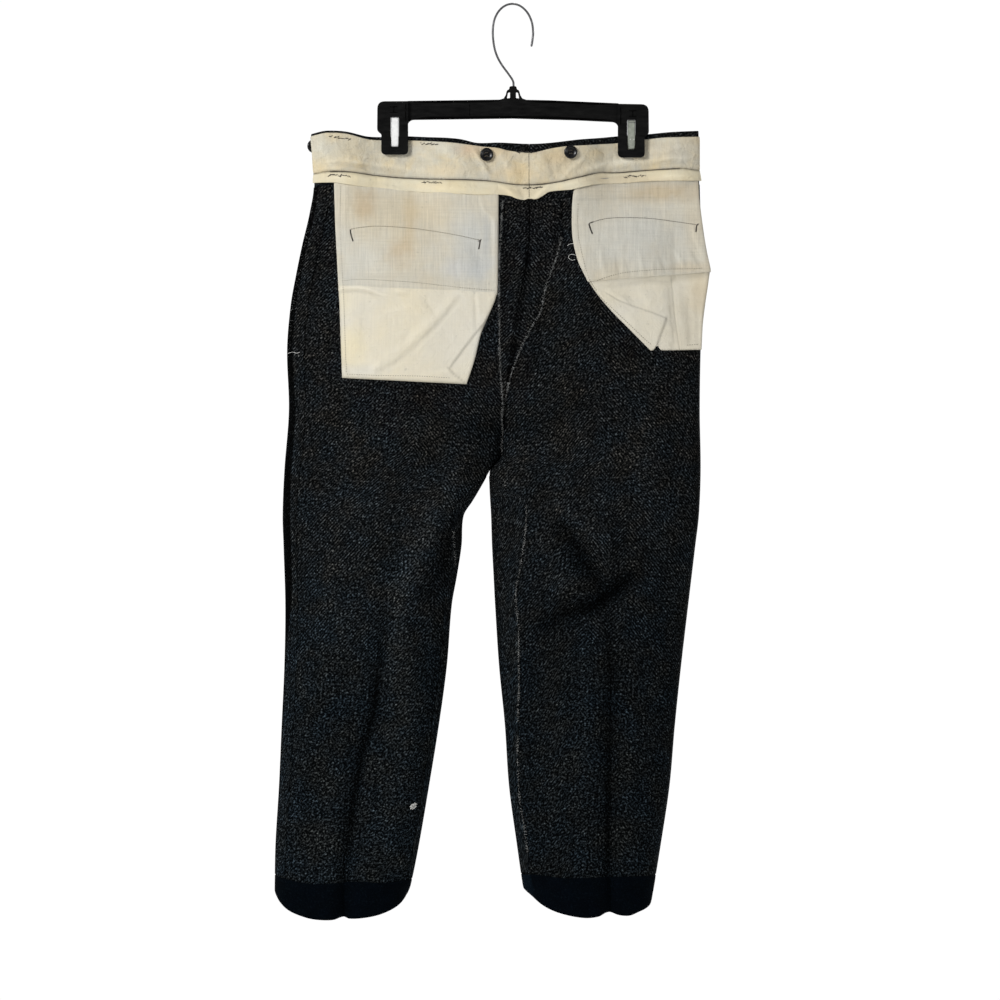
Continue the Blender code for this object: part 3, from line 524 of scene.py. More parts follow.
# One stain with a wandering edge
stainSpot, given, result = newGroup(
    "stainSpot",
    (("Place", "Vector", None), ("Middle", "Vector", None), ("Reach", "Vector", (0.03, 0.1, 0.03)),
        ("Wander", "Float", 0.6)),
    (("Mask", "Float"),),
)
tree = stainSpot
toward = shift(tree, "DIVIDE", shift(tree, "SUBTRACT", given["Place"], given["Middle"]), given["Reach"])
ragged = times(tree, minus(tree, grainNoise(tree, given["Place"], 46.0, 3.0, 0.6), 0.5), given["Wander"])
feed(tree, result["Mask"], spread(tree, timesPlus(tree, ragged, 2.0, shift(tree, "LENGTH", toward)),
        1.15, 0.25))

# Broad uneven yellowing and greying, and small foxing specks
cottonAge, given, result = newGroup(
    "cottonAge",
    (("Place", "Vector", None), ("Scale", "Float", 14.0)),
    (("Yellowing", "Float"), ("Greying", "Float"), ("Specks", "Float")),
)
tree = cottonAge
place = given["Place"]
moved = shift(tree, "ADD", place, (3.7, 1.3, 8.1))
feed(tree, result["Yellowing"], spread(tree, grainNoise(tree, place, given["Scale"], 4.0, 0.6, 0.4),
        0.36, 0.66))
feed(tree, result["Greying"], spread(tree, grainNoise(tree, moved, given["Scale"], 4.0, 0.6, 0.8),
        0.40, 0.70))
feed(tree, result["Specks"], spread(tree, grainNoise(tree, place, 240.0, 2.0, 0.6), 0.66, 0.78))
print("node groups made")


def newMaterial(name, roughness=0.9, specular=0.2, **settings):
    made = bpy.data.materials.new(name)
    made.use_nodes = True
    tree = made.node_tree
    shader = tree.nodes["Principled BSDF"]
    shader.inputs["Roughness"].default_value = roughness
    shader.inputs["Specular IOR Level"].default_value = specular
    for key, value in settings.items():
        shader.inputs[key.replace("_", " ")].default_value = value
    return made, tree, shader


def setBump(tree, shader, height, strength, distance, under=None):
    bump = addNode(tree, "Bump", Strength=strength, Distance=distance, Height=height)
    if under:
        feed(tree, bump.inputs["Normal"], under)
    feed(tree, shader.inputs["Normal"], bump.outputs[0])
    return bump.outputs[0]


# The mesh's tone attribute is mostly painted shade and painted highlight along folds, creases and seams
def setTone(tree, shader, colour, shade):  # the colour times a shade and the mesh's own tone
    tone = tree.nodes.new("ShaderNodeAttribute")
    tone.attribute_name = "tone"
    shade = times(tree, shade, tone.outputs["Fac"])
    grey = addNode(tree, "CombineColor", Red=shade, Green=shade, Blue=shade).outputs[0]
    feed(tree, shader.inputs["Base Color"], blend(tree, 1.0, colour, grey, "MULTIPLY"))


def clothPlace(tree):
    made = tree.nodes.new("ShaderNodeUVMap")
    made.uv_map = "cloth"
    return made.outputs[0]


def objectPlace(tree):
    return tree.nodes.new("ShaderNodeTexCoord").outputs["Object"]


woolLook = {
    "wool": {"dark": (0.0007, 0.0009, 0.0011), "light": (0.087, 0.091, 0.092), "fleck": (0.20, 0.20, 0.185),
        "warm": (1.10, 1.0, 0.90), "cool": (0.84, 1.0, 1.14), "pitch": 2.9 * mm,
        "relief": 0.35, "bump": 0.4 * mm, "roughness": (0.95, 0.85), "fleckShare": 0.75,
        "clarity": (0.2, 1.0),
        "cold": (0.76, 0.90, 1.0)},
    "hem": {"dark": (0.0006, 0.0014, 0.0024), "light": (0.0026, 0.0044, 0.0062),
        "fleck": (0.012, 0.014, 0.015),
        "warm": (1.05, 1.0, 0.95), "cool": (0.9, 1.0, 1.1), "pitch": 1.5 * mm,
        "relief": 0.12, "bump": 0.3 * mm, "roughness": (0.9, 0.8), "fleckShare": 0.3, "clarity": (0.5, 0.5),
        "cold": (0.8, 0.95, 1.05)},
}


# Heights where the legs turn colder and the weave felts over, and the wear's noise
woolWear = {"coldHeights": (-0.44, -0.78), "felted": (-0.86, -0.66), "patchScale": 26.0, "wornScale": 42.0,
    "worn": (0.68, 1.28)}


def makeWool(name, look, split=0.0, sign=1.0):
    made, tree, shader = newMaterial(name, specular=0.02)
    place = clothPlace(tree)
    where = addNode(tree, "SeparateXYZ", Vector=objectPlace(tree)).outputs
    lean = times(tree, minus(tree, where["X"], split), sign / 0.05)
    clear = spread(tree, where["Z"], *woolWear["felted"], *look["clarity"])
    clear = times(tree, clear, spread(tree, grainNoise(tree, place, 9.0, 2.0), 0.36, 0.6, 0.35, 1.0))
    weave = useGroup(tree, twillWeave, Place=place, Pitch=look["pitch"], Lean=lean, Clarity=clear)
    patches = spread(tree, grainNoise(tree, place, woolWear["patchScale"], 3.0, 0.6), 0.36, 0.64)
    colour = blend(tree, weave["Streaks"], look["dark"], look["light"])
    colour = blend(tree, times(tree, weave["Flecks"], look["fleckShare"]), colour, look["fleck"])
    colour = blend(tree, 1.0, colour, blend(tree, patches, look["warm"], look["cool"]), "MULTIPLY")
    colour = blend(tree, spread(tree, where["Z"], *woolWear["coldHeights"]), colour,
        look["cold"], "MULTIPLY")
    worn = grainNoise(tree, place, woolWear["wornScale"], 5.0, 0.68)
    setTone(tree, shader, colour, spread(tree, worn, 0.3, 0.72, *woolWear["worn"]))
    feed(tree, shader.inputs["Roughness"], spread(tree, weave["Streaks"], 0.0, 1.0, *look["roughness"]))
    nap = timesPlus(tree, grainNoise(tree, place, 1500.0, 2.0, 0.6), 0.25, weave["Height"])
    setBump(tree, shader, nap, look["relief"], look["bump"])
    return made


cottonLook = {
    # The facing: fine twill, creased and yellowed towards the centre back
    "facing": {"clean": (0.600, 0.562, 0.452), "yellow": (0.635, 0.525, 0.330),
        "grey": (0.505, 0.487, 0.418),
        "thread": 0.0010, "slub": 0.45, "contrast": 0.14, "relief": 0.3, "ageScale": 30.0,
        "rumple": 3.4 * mm, "aged": 1.0,
        "stains": (((500, 150), (26, 14), (0.60, 0.46, 0.27), 0.65),
            ((468, 150), (16, 9), (0.56, 0.41, 0.28), 0.6), ((512, 172), (26, 9), (0.64, 0.50, 0.30), 0.5),
            ((556, 158), (16, 8), (0.56, 0.44, 0.27), 0.6),
            ((560, 165), (40, 22), (0.60, 0.49, 0.31), 0.45),
            ((590, 190), (60, 5), (0.63, 0.52, 0.34), 0.5), ((445, 172), (30, 7), (0.66, 0.54, 0.35), 0.45),
            ((330, 150), (26, 14), (0.54, 0.53, 0.46), 0.5),
            ((672, 150), (40, 16), (0.505, 0.47, 0.39), 0.6),
            ((400, 150), (30, 14), (0.55, 0.53, 0.46), 0.4), ((640, 178), (60, 5), (0.60, 0.49, 0.31), 0.4),
            ((536, 150), (9, 5), (0.40, 0.32, 0.28), 0.35))},
    "curtain": {"clean": (0.700, 0.640, 0.480), "yellow": (0.690, 0.590, 0.380),
        "grey": (0.600, 0.560, 0.450),
        "thread": 0.0010, "slub": 0.25, "contrast": 0.08, "relief": 0.25, "ageScale": 20.0,
        "rumple": 2.0 * mm, "aged": 0.8,
        "stains": (((520, 192), (34, 8), (0.60, 0.50, 0.33), 0.4),
            ((620, 180), (70, 6), (0.58, 0.49, 0.34), 0.55),
            ((430, 186), (30, 5), (0.68, 0.57, 0.38), 0.4))},
    "patch": {"clean": (0.585, 0.555, 0.468), "yellow": (0.575, 0.500, 0.365),
        "grey": (0.530, 0.535, 0.500),
        "thread": 0.0011, "slub": 0.8, "contrast": 0.125, "relief": 0.35, "ageScale": 15.0,
        "rumple": 1.1 * mm, "aged": 0.6,
        "stains": (((390, 215), (56, 40), (0.545, 0.475, 0.34), 0.66),
            ((366, 206), (13, 17), (0.50, 0.37, 0.22), 0.5), ((410, 222), (9, 38), (0.52, 0.41, 0.25), 0.5),
            ((400, 252), (15, 16), (0.52, 0.40, 0.25), 0.5),
            ((430, 210), (26, 20), (0.54, 0.46, 0.32), 0.35),
            ((474, 250), (26, 48), (0.515, 0.52, 0.495), 0.7),
            ((455, 270), (16, 12), (0.55, 0.555, 0.545), 0.5),
            ((486.5, 240), (5, 26), (0.44, 0.45, 0.44), 0.6),
            ((480, 268), (16, 14), (0.46, 0.475, 0.475), 0.55),
            ((662, 192), (58, 13), (0.49, 0.395, 0.255), 0.75),
            ((600, 190), (36, 10), (0.58, 0.52, 0.40), 0.6),
            ((640, 238), (58, 34), (0.545, 0.545, 0.505), 0.65),
            ((694, 226), (11, 40), (0.57, 0.51, 0.39), 0.6),
            ((690, 268), (24, 7), (0.52, 0.42, 0.27), 0.4))},
    "bag": {"clean": (0.680, 0.638, 0.530), "yellow": (0.725, 0.640, 0.450), "grey": (0.620, 0.600, 0.540),
        "thread": 0.0011, "slub": 0.4, "contrast": 0.08, "relief": 0.3, "ageScale": 12.0,
        "rumple": 1.4 * mm, "aged": 0.6,
        "stains": (((352, 352), (18, 34), (0.745, 0.655, 0.43), 0.6),
            ((360, 372), (34, 9), (0.60, 0.585, 0.53), 0.6),
            ((450, 330), (30, 40), (0.64, 0.61, 0.53), 0.5),
            ((692, 322), (26, 50), (0.54, 0.495, 0.395), 0.75),
            ((700, 290), (16, 22), (0.60, 0.50, 0.34), 0.5),
            ((610, 295), (26, 14), (0.66, 0.60, 0.46), 0.6),
            ((345, 300), (14, 20), (0.74, 0.66, 0.45), 0.4),
            ((480, 345), (10, 22), (0.60, 0.585, 0.53), 0.5))},
}


def makeCotton(name, look):
    made, tree, shader = newMaterial(name, roughness=0.92, specular=0.15, Sheen_Weight=0.04)
    place = clothPlace(tree)
    where = objectPlace(tree)
    age = useGroup(tree, cottonAge, Place=where, Scale=look["ageScale"])
    weave = useGroup(tree, plainWeave, Place=place, Thread=look["thread"], Slub=look["slub"])
    colour = blend(tree, times(tree, age["Yellowing"], look["aged"]), look["clean"], look["yellow"])
    colour = blend(tree, times(tree, age["Greying"], look["aged"] * 0.75), colour, look["grey"])
    scale = picture["mmPerPixel"] * mm
    for middle, (reachX, reachY), stain, strength in look["stains"]:
        x, z = spot(*middle)
        reach = (reachX * scale, 0.2, reachY * scale)
        mask = useGroup(tree, stainSpot, Place=where, Middle=(x, 0.0, z), Reach=reach)["Mask"]
        colour = blend(tree, times(tree, mask, strength), colour, stain)
    shade = timesPlus(tree, minus(tree, weave["Slubs"], look["slub"] / 2), look["contrast"] * 2, 1.0)
    shade = timesPlus(tree, minus(tree, weave["Threads"], 0.5), look["contrast"], shade)
    setTone(tree, shader, colour, timesPlus(tree, age["Specks"], -0.16, shade))
    # Small creases over broad ones, and the threads on them
    rumple = calc(tree, "ADD", grainNoise(tree, where, 95.0, 3.0, 0.55, 0.7),
        grainNoise(tree, where, 38.0, 2.0, 0.5, 0.5))
    creased = setBump(tree, shader, rumple, 0.7, look["rumple"])
    setBump(tree, shader, weave["Height"], look["relief"], 0.35 * mm, creased)
    return made


threadLook = {
    "seamThread": {"low": (0.045, 0.037, 0.028), "high": (0.13, 0.11, 0.085), "roughness": 0.8},
    "darkThread": {"low": (0.020, 0.017, 0.015), "high": (0.075, 0.065, 0.055), "roughness": 0.75},
    "dullThread": {"low": (0.20, 0.18, 0.135), "high": (0.32, 0.29, 0.225), "roughness": 0.85},
    "brownThread": {"low": (0.10, 0.085, 0.06), "high": (0.22, 0.19, 0.13), "roughness": 0.85},
    "paleThread": {"low": (0.045, 0.048, 0.047), "high": (0.24, 0.245, 0.24), "roughness": 0.85},
    "greyFray": {"low": (0.035, 0.037, 0.037), "high": (0.17, 0.175, 0.17), "roughness": 0.9},
    "whiteThread": {"low": (0.52, 0.52, 0.50), "high": (0.78, 0.78, 0.75), "roughness": 0.8},
}


def makeThread(name):
    look = threadLook[name]
    made, tree, shader = newMaterial(name, roughness=look["roughness"], specular=0.25, Sheen_Weight=0.05)
    where = objectPlace(tree)
    strandTone = spread(tree, grainNoise(tree, where, 320.0, 2.0, 0.6), 0.36, 0.64)
    feed(tree, shader.inputs["Base Color"], blend(tree, strandTone, look["low"], look["high"]))
    setBump(tree, shader, grainNoise(tree, where, 2600.0, 2.0), 0.4, 0.15 * mm)
    return made


threads = {name: makeThread(name) for name in threadLook}
woolSplits = {"left": (spot(432, 0)[0], -1.0), "right": (spot(606, 0)[0], 1.0)}
woolBySide = {side: makeWool("wool." + side, woolLook["wool"], *woolSplits[side]) for side in woolSplits}
hemWool = makeWool("hemWool", woolLook["hem"])
cottons = {name: makeCotton(name + "Cotton", look) for name, look in cottonLook.items()}
print("cloth materials made")


# Making pieces
def addObject(name, data, material=None):
    made = bpy.data.objects.new(name, data)
    bpy.context.scene.collection.objects.link(made)
    if material:
        data.materials.append(material)
    return made


def modify(piece, kind, **settings):
    made = piece.modifiers.new(kind.lower(), kind)
    for key, value in settings.items():
        setattr(made, key, value)


def resultOf(piece):  # its mesh with the modifiers applied
    bpy.context.view_layer.update()
    return bpy.data.meshes.new_from_object(piece.evaluated_get(bpy.context.evaluated_depsgraph_get()))


def belongs(piece, slot=None, *nodes):
    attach(piece, "root")
    if nodes:
        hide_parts(*nodes)
    return piece


# Painted shade in the hollows and painted highlight on the ridges of the wool: points and width in pixels,
# and the change
woolShadeLines = (
    (((456, 522), (446, 545), (438, 570), (424, 602)), 9, -0.55),
    (((452, 600), (440, 650), (432, 720)), 9, -0.25), (((392, 612), (381, 652), (378, 680), (374, 713),
            (364, 746), (358, 780), (353, 813), (349.5, 846), (346, 871), (344, 914)), 4.5, -0.72),
    (((388, 640), (378, 690), (368, 740)), 10, -0.2), (((340, 700), (352, 760), (340, 850)), 12, -0.15),
    (((290.5, 300), (289, 360), (288.5, 430)), 3, -0.5),
    (((288, 400), (287, 470), (288.5, 540), (288.5, 610), (286.5, 660)), 3.6, -0.75),
    (((562, 520), (583, 558.6), (600.7, 590.7)), 5.5, -0.6),
    (((640, 573), (612, 592), (588, 608.6)), 6.5, -0.62), (((536, 628), (562, 615), (600, 604)), 8.5, -0.6),
    (((560, 610), (596, 600)), 7, -0.2), (((609, 612), (609.5, 680), (608.5, 760), (607.5, 840),
            (606.5, 908)), 4, -0.7), (((618, 640), (617, 740), (615, 840)), 8, -0.15),
    (((648, 560), (655, 620), (650, 700)), 12, -0.1), (((529, 200), (529, 230), (528, 256), (518, 326),
            (505, 400), (501, 452)), 3.2, -0.6),
    (((503, 445), (496, 459), (489, 471)), 5, -0.6), (((542, 300), (534, 345), (524, 390)), 6, -0.3),
    (((516, 340), (508, 400)), 5, -0.25), (((494, 480), (495, 540), (498, 620), (503, 700), (508, 760)),
        3.5, -0.55), (((560, 200), (556, 250)), 5, -0.25),
    (((505, 205), (505, 260), (502, 330)), 3.5, -0.4), (((459, 520), (457, 575), (449, 640), (441, 700)),
        3, -0.5),
    (((330, 210), (320, 240), (312, 300)), 6, -0.2), (((312, 205), (306, 235), (298, 270)), 3, -0.45),
    (((697, 360), (697, 470), (692, 600), (676, 700), (664, 800)), 3, -0.4),
    (((572, 250), (592, 305), (640, 356), (690, 358)), 4, -0.25),
    (((344, 384), (400, 387), (466, 390)), 3.5, -0.25), (((497, 300), (484, 350), (470, 386)), 4, -0.3),
    (((456, 482), (423, 539), (402, 590), (392, 640), (386, 700)), 9, 0.42),
    (((400, 600), (398, 660), (396, 740)), 8, 0.28), (((470, 462), (440, 500), (420, 530)), 14, 0.12),
    (((556, 504), (578, 524), (599, 544)), 8, 0.28), (((542, 574), (560, 582), (580, 596)), 8, 0.22),
    (((583, 640), (583, 720), (582, 800)), 12, 0.22), (((566, 700), (576, 860)), 10, 0.1),
    (((320, 780), (316, 860)), 14, 0.12), (((378, 800), (380, 866)), 12, 0.15),
    (((630, 700), (628, 860)), 10, 0.12), (((340, 430), (330, 520), (320, 600)), 20, 0.08),
    (((640, 400), (650, 500)), 22, 0.06), (((522, 420), (514, 470), (520, 520)), 6, 0.15),
    (((612, 510), (617, 560), (616, 600)), 6, -0.3), (((640, 535), (640, 565)), 5.5, -0.28),
)


# Painted shade and painted highlight from the lines above
def paintedWoolShade(x, z):
    return np.clip(1 + creaseRise(woolShadeLines, x, z, 1.0), 0.15, 1.7)


def gridMesh(name, grid):  # quads through rows and columns of points
    index = np.arange(grid.shape[0] * grid.shape[1]).reshape(grid.shape[:2])
    quads = np.stack([index[:-1, :-1], index[1:, :-1], index[1:, 1:], index[:-1, 1:]], -1).reshape(-1, 4)
    mesh = bpy.data.meshes.new(name)
    mesh.from_pydata(grid.reshape(-1, 3).tolist(), [], quads.tolist())
    mesh.shade_smooth()
    return mesh, quads


def nodeOf(name):  # the solid that a piece stands for: back_panel_left for backPanel.left
    return "".join("_" + letter.lower() if letter.isupper() else letter for letter in name).replace(".",
        "_")


def sheetPiece(name, grid, thickness, material, slot, grain=0.0, tone=None, upright=False):
    rowCount, columnCount = grid.shape[:2]
    mesh, quads = gridMesh(name, grid)
    # The cloth's own measure across and down, in metres, for the weave
    across = np.linalg.norm(np.diff(grid, axis=1), axis=2)
    down = np.linalg.norm(np.diff(grid, axis=0), axis=2)
    u = np.concatenate([np.zeros((rowCount, 1)), np.cumsum(across, axis=1)], 1)
    u -= u[:, int(grain * (columnCount - 1))][:, None]
    v = np.concatenate([np.zeros((1, columnCount)), np.cumsum(down, axis=0)], 0)
    if upright:  # its threads run straight down, whatever its outline
        u, v = grid[..., 0], -grid[..., 2]
    flat = np.stack([u, v], -1).reshape(-1, 2)[quads.reshape(-1)]
    mesh.uv_layers.new(name="cloth").data.foreach_set("uv", flat.reshape(-1))
    tones = np.ones(grid.shape[:2]) if tone is None else np.clip(tone, 0.1, 2.6)
    mesh.attributes.new("tone", "FLOAT", "POINT").data.foreach_set("value", tones.reshape(-1))
    piece = belongs(addObject(name, mesh, material), slot, nodeOf(name))
    modify(piece, "SOLIDIFY", thickness=thickness, offset=0, use_even_offset=False)


def tubePiece(name, strands, material, sides=5, slot=None, nodes=()):  # many round strands in one mesh
    points = []
    faces = []
    count = 0
    angles = np.arange(sides) * math.tau / sides
    for path, radii in strands:
        path = np.asarray(path, float)
        radii = np.broadcast_to(np.asarray(radii, float), (len(path),))
        tangent = np.gradient(path, axis=0)
        tangent /= np.linalg.norm(tangent, axis=1, keepdims=True) + 1e-12
        steady = (0.3, -0.92, 0.25)
        if abs(tangent[0] @ steady) >= 0.85:
            steady = (1.0, 0.1, 0.2)
        sideways = np.cross(tangent, steady)
        sideways /= np.linalg.norm(sideways, axis=1, keepdims=True)
        upward = np.cross(sideways, tangent)
        across = np.cos(angles)[None, :, None] * sideways[:, None]
        ring = across + np.sin(angles)[None, :, None] * upward[:, None]
        points.append((path[:, None] + ring * radii[:, None, None]).reshape(-1, 3))
        index = count + np.arange(len(path) * sides).reshape(len(path), sides)
        turned = np.roll(index, -1, axis=1)
        faces += np.stack([index[:-1], turned[:-1], turned[1:], index[1:]], -1).reshape(-1, 4).tolist()
        faces.append(index[0][::-1].tolist())
        faces.append(index[-1].tolist())
        count += len(path) * sides
    mesh = bpy.data.meshes.new(name)
    mesh.from_pydata(np.concatenate(points).tolist(), [], faces)
    mesh.shade_smooth()
    return belongs(addObject(name, mesh, material), slot, *nodes)


def walk(path, step):  # places and directions at even steps along a smooth line
    path = np.asarray(path, float)
    chord = np.concatenate([[0], np.cumsum(np.linalg.norm(np.diff(path, axis=0), axis=1))])
    fine = np.linspace(0, chord[-1], 400)
    line = np.stack([smooth(chord, path[:, k], fine) for k in range(path.shape[1])], -1)
    gone = np.concatenate([[0], np.cumsum(np.linalg.norm(np.diff(line, axis=0), axis=1))])
    at = np.arange(step / 2, gone[-1], step)
    place = np.stack([np.interp(at, gone, line[:, k]) for k in range(path.shape[1])], -1)
    heading = np.gradient(line, axis=0)
    heading = np.stack([np.interp(at, gone, heading[:, k]) for k in range(path.shape[1])], -1)
    return place, heading / np.linalg.norm(heading, axis=1, keepdims=True)


sewing = {"stitch": 1.9 * mm, "step": 2.6 * mm, "radius": 0.24 * mm, "bulge": 0.22 * mm}


def stitchLine(path, lift, stitch=sewing["stitch"], step=sewing["step"], radius=sewing["radius"],
        bulge=sewing["bulge"], slant=0.0, uneven=0.0, skip=0.0, seed=1, inset=0.0):
    dice = random.Random(seed)
    strands = []
    shares = np.array((0, 0.22, 0.5, 0.78, 1.0))
    for here, heading in zip(*walk(path, step)):
        if dice.random() < skip:
            continue
        turn = slant + dice.uniform(-uneven, uneven)
        direction = np.array((heading[0] * math.cos(turn) - heading[1] * math.sin(turn),
            heading[0] * math.sin(turn) + heading[1] * math.cos(turn)))
        size = stitch * (1 + dice.uniform(-uneven, uneven) * 0.5)
        x, z = (here + direction * (shares[:, None] - 0.5) * size).T
        rise = (lift(x, z) if callable(lift) else lift) + bulge * np.sin(shares * math.pi)
        strands.append((onBack(x, z, rise, inset), radius * np.array((0.5, 1, 1, 1, 0.5))))
    return strands


def hairs(path, lift, count, length, radius, seed):  # loose ends of thread along an edge
    dice = random.Random(seed)
    places, headings = walk(path, 1.0 * mm)
    strands = []
    for k in range(count):
        pick = dice.randrange(len(places))
        side = 1 if dice.random() < 0.6 else -1
        angle = math.atan2(headings[pick][1], headings[pick][0]) + side * (math.pi / 2)
        angle += dice.uniform(-1.2, 1.2)
        size = length * dice.uniform(0.4, 1.3)
        bend = dice.uniform(-0.9, 0.9)
        line = [places[pick]]
        for part in range(4):
            angle += bend / 4
            line.append(line[-1] + size / 4 * np.array((math.cos(angle), math.sin(angle))))
        line = np.array(line)
        rise = lift + dice.uniform(0.0, 0.8) * mm * np.linspace(0, 1, 5) ** 2
        taper = radius * dice.uniform(0.6, 1.2) * np.array((1, 1, 0.9, 0.7, 0.35))
        strands.append((onBack(line[:, 0], line[:, 1], rise), taper))
    return strands


# The wool panels
panels = {"thickness": 1.3 * mm, "backColumns": 74, "frontColumns": 44, "backRows": 250, "frontRows": 150}


def shareSteps(count):  # closer together at both edges
    s = np.linspace(0, 1, count)
    return 0.45 * s + 0.55 * (0.5 - 0.5 * np.cos(math.pi * s))


def levelSteps(count):
    seat = int(count * (garment["fork"] - garment["panelTop"]) / (garment["hem"] - garment["panelTop"]))
    upper = np.linspace(garment["panelTop"], garment["fork"], seat)
    lower = np.linspace(garment["fork"], garment["hem"], count - seat + 1)
    return np.concatenate([upper, lower[1:]])


for side, face in quarters:
    grid = clothGrid(side, face, shareSteps(panels[face + "Columns"]), levelSteps(panels[face + "Rows"]))
    grid = seamed(side, face, grid, panels["thickness"])
    x, y, z = np.moveaxis(grid, -1, 0)
    # Painted shade in the folds' hollows and painted highlight on their ridges; on the back, also the
    # painted shade lines
    tone = 1 + 0.05 * foldRise(largeFolds[face] + smallFolds[face], x, z) / mm
    if face == "back":
        tone = tone * paintedWoolShade(x, z)
    if side == "right":  # the right shin is darker
        tone = tone * (1 - 0.22 * ease((-0.55 - z) / 0.2))
    sheetPiece(f"{face}Panel.{side}", grid, panels["thickness"], woolBySide[side], "wool",
        grain=0.45, tone=tone)
print("panels made")

# The waistband, its facing and its curtain
waist = {
    "wool": 0.7 * mm, "facing": 0.8 * mm, "curtain": 0.8 * mm,
    "facingLift": 1.75 * mm, "curtainLift": 2.0 * mm,
    "columns": {"back": 120, "front": 56},
    # The wool turns over the top and ends under the facing: its drops and lifts in mm
    "rim": ((-15, 0.75), (-10, 0.75), (-6, 0.75), (-3.5, 0.78), (-1.8, 0.8), (-0.8, 0.74), (-0.25, 0.52),
        (0, 0.2), (-0.25, -0.12), (-0.8, -0.33), (-1.8, -0.35), (-4, -0.35), (-12, -0.35), (-24, -0.35)),
}
facingCreases = (  # points in pixels, width in pixels, rise in mm
    (((328, 162.5), (340, 160.6), (352, 161.6), (368, 164), (386, 166), (408, 168.6), (429, 171)),
        2.2, 1.5),
    (((332, 166), (352, 166), (380, 170), (404, 173)), 2.6, -0.9),
    (((352, 168), (372, 166.6), (398, 168.4)), 1.8, -0.8), (((440, 147), (452, 156), (463, 165)), 4, 1.0),
    (((430, 151), (446, 164)), 4, -0.8), (((473, 150), (480, 160), (488, 176)), 2.2, 1.6),
    (((478, 151), (485, 162), (494, 175)), 2.4, -1.3), (((500, 152), (507, 164), (512, 180)), 4, 1.0),
    (((516, 158), (521, 180)), 3.5, -0.7), (((537, 158), (540, 180)), 4, 0.7),
    (((548, 156), (553, 180)), 4.5, -0.9), (((562, 180), (570, 170), (583, 159.6)), 2.8, 1.3),
    (((556, 172), (566, 162), (576, 158)), 2.4, -0.8),
    (((580, 172), (596, 167), (613, 163), (634, 160.4), (654, 159)), 2.8, 1.9),
    (((652, 160), (672, 158.4), (692, 157.4)), 2.4, 1.5),
    (((588, 175.6), (614, 169.6), (642, 166)), 2.6, -1.3),
    (((640, 166.4), (664, 163.6), (692, 162.4)), 2.4, -1.0),
    (((618, 160), (640, 153), (662, 147)), 3.4, 1.2), (((624, 155), (640, 149), (655, 145)), 3, -0.8),
    (((655, 153), (674, 148), (693, 146)), 3.6, 1.0), (((318, 141), (324, 152), (331, 165)), 4, 1.0),
    (((345, 141), (352, 156)), 4, -0.8), (((598, 150), (612, 157)), 4, -0.9),
    (((660, 141), (690, 140.4)), 2.6, 0.7), (((420, 147), (424, 158)), 4, 0.6),
    (((364, 146), (372, 158)), 3.4, -0.6), (((320, 169), (346, 168)), 2.4, 0.7),
)
curtainCreases = (
    (((328, 178), (350, 178), (374, 181.4)), 2.2, 0.8), (((500, 186), (508, 191), (516, 198)), 2.6, 1.4),
    (((519, 188), (524, 200)), 2.6, -1.2), (((534, 199), (541, 193), (549, 187)), 2.6, 1.4),
    (((556, 188), (572, 184), (590, 180.6)), 2.2, 1.0), (((418, 187), (444, 189), (470, 190)), 2.4, 0.8),
    (((380, 184), (404, 187.6)), 2.0, -0.6), (((600, 178.6), (622, 177), (640, 176.6)), 2.2, -0.7),
    (((640, 179), (666, 176.6), (690, 176)), 2.2, 0.9), (((470, 186), (488, 189)), 2.6, -0.7),
)


def facingLift(x, z):
    free = ease(looseness(x, z) * 2.5)
    return waist["facingLift"] + (creaseRise(facingCreases, x, z) + 0.6 * waves(x * 2.2, z * 2.2)) * free


def curtainLift(x, z):
    free = ease(looseness(x, z) * 4)
    bottom = smooth(waistLines["curtain"][:, 0], waistLines["curtain"][:, 1], x)
    flare = 1.1 * mm * ease(1 - (z - bottom) / (9 * mm))
    worked = creaseRise(curtainCreases, x, z) + flare * (0.6 + 0.4 * np.sin(x * 95))
    return waist["curtainLift"] + worked * free


# Each cloth hangs from one line to another; near the seam it dips, and takes painted shade, at its own rate
waistCloths = {
    "facing": {"top": ("facing", -1.6 * mm), "bottom": ("seam", 0.1 * mm), "rows": 26, "lift": facingLift,
        "creases": facingCreases, "dip": 20, "shade": 24},
    "curtain": {"top": ("seam", 0.0), "bottom": ("curtain", 0.0), "rows": 12, "lift": curtainLift,
        "creases": curtainCreases, "dip": 5, "shade": 9},
}


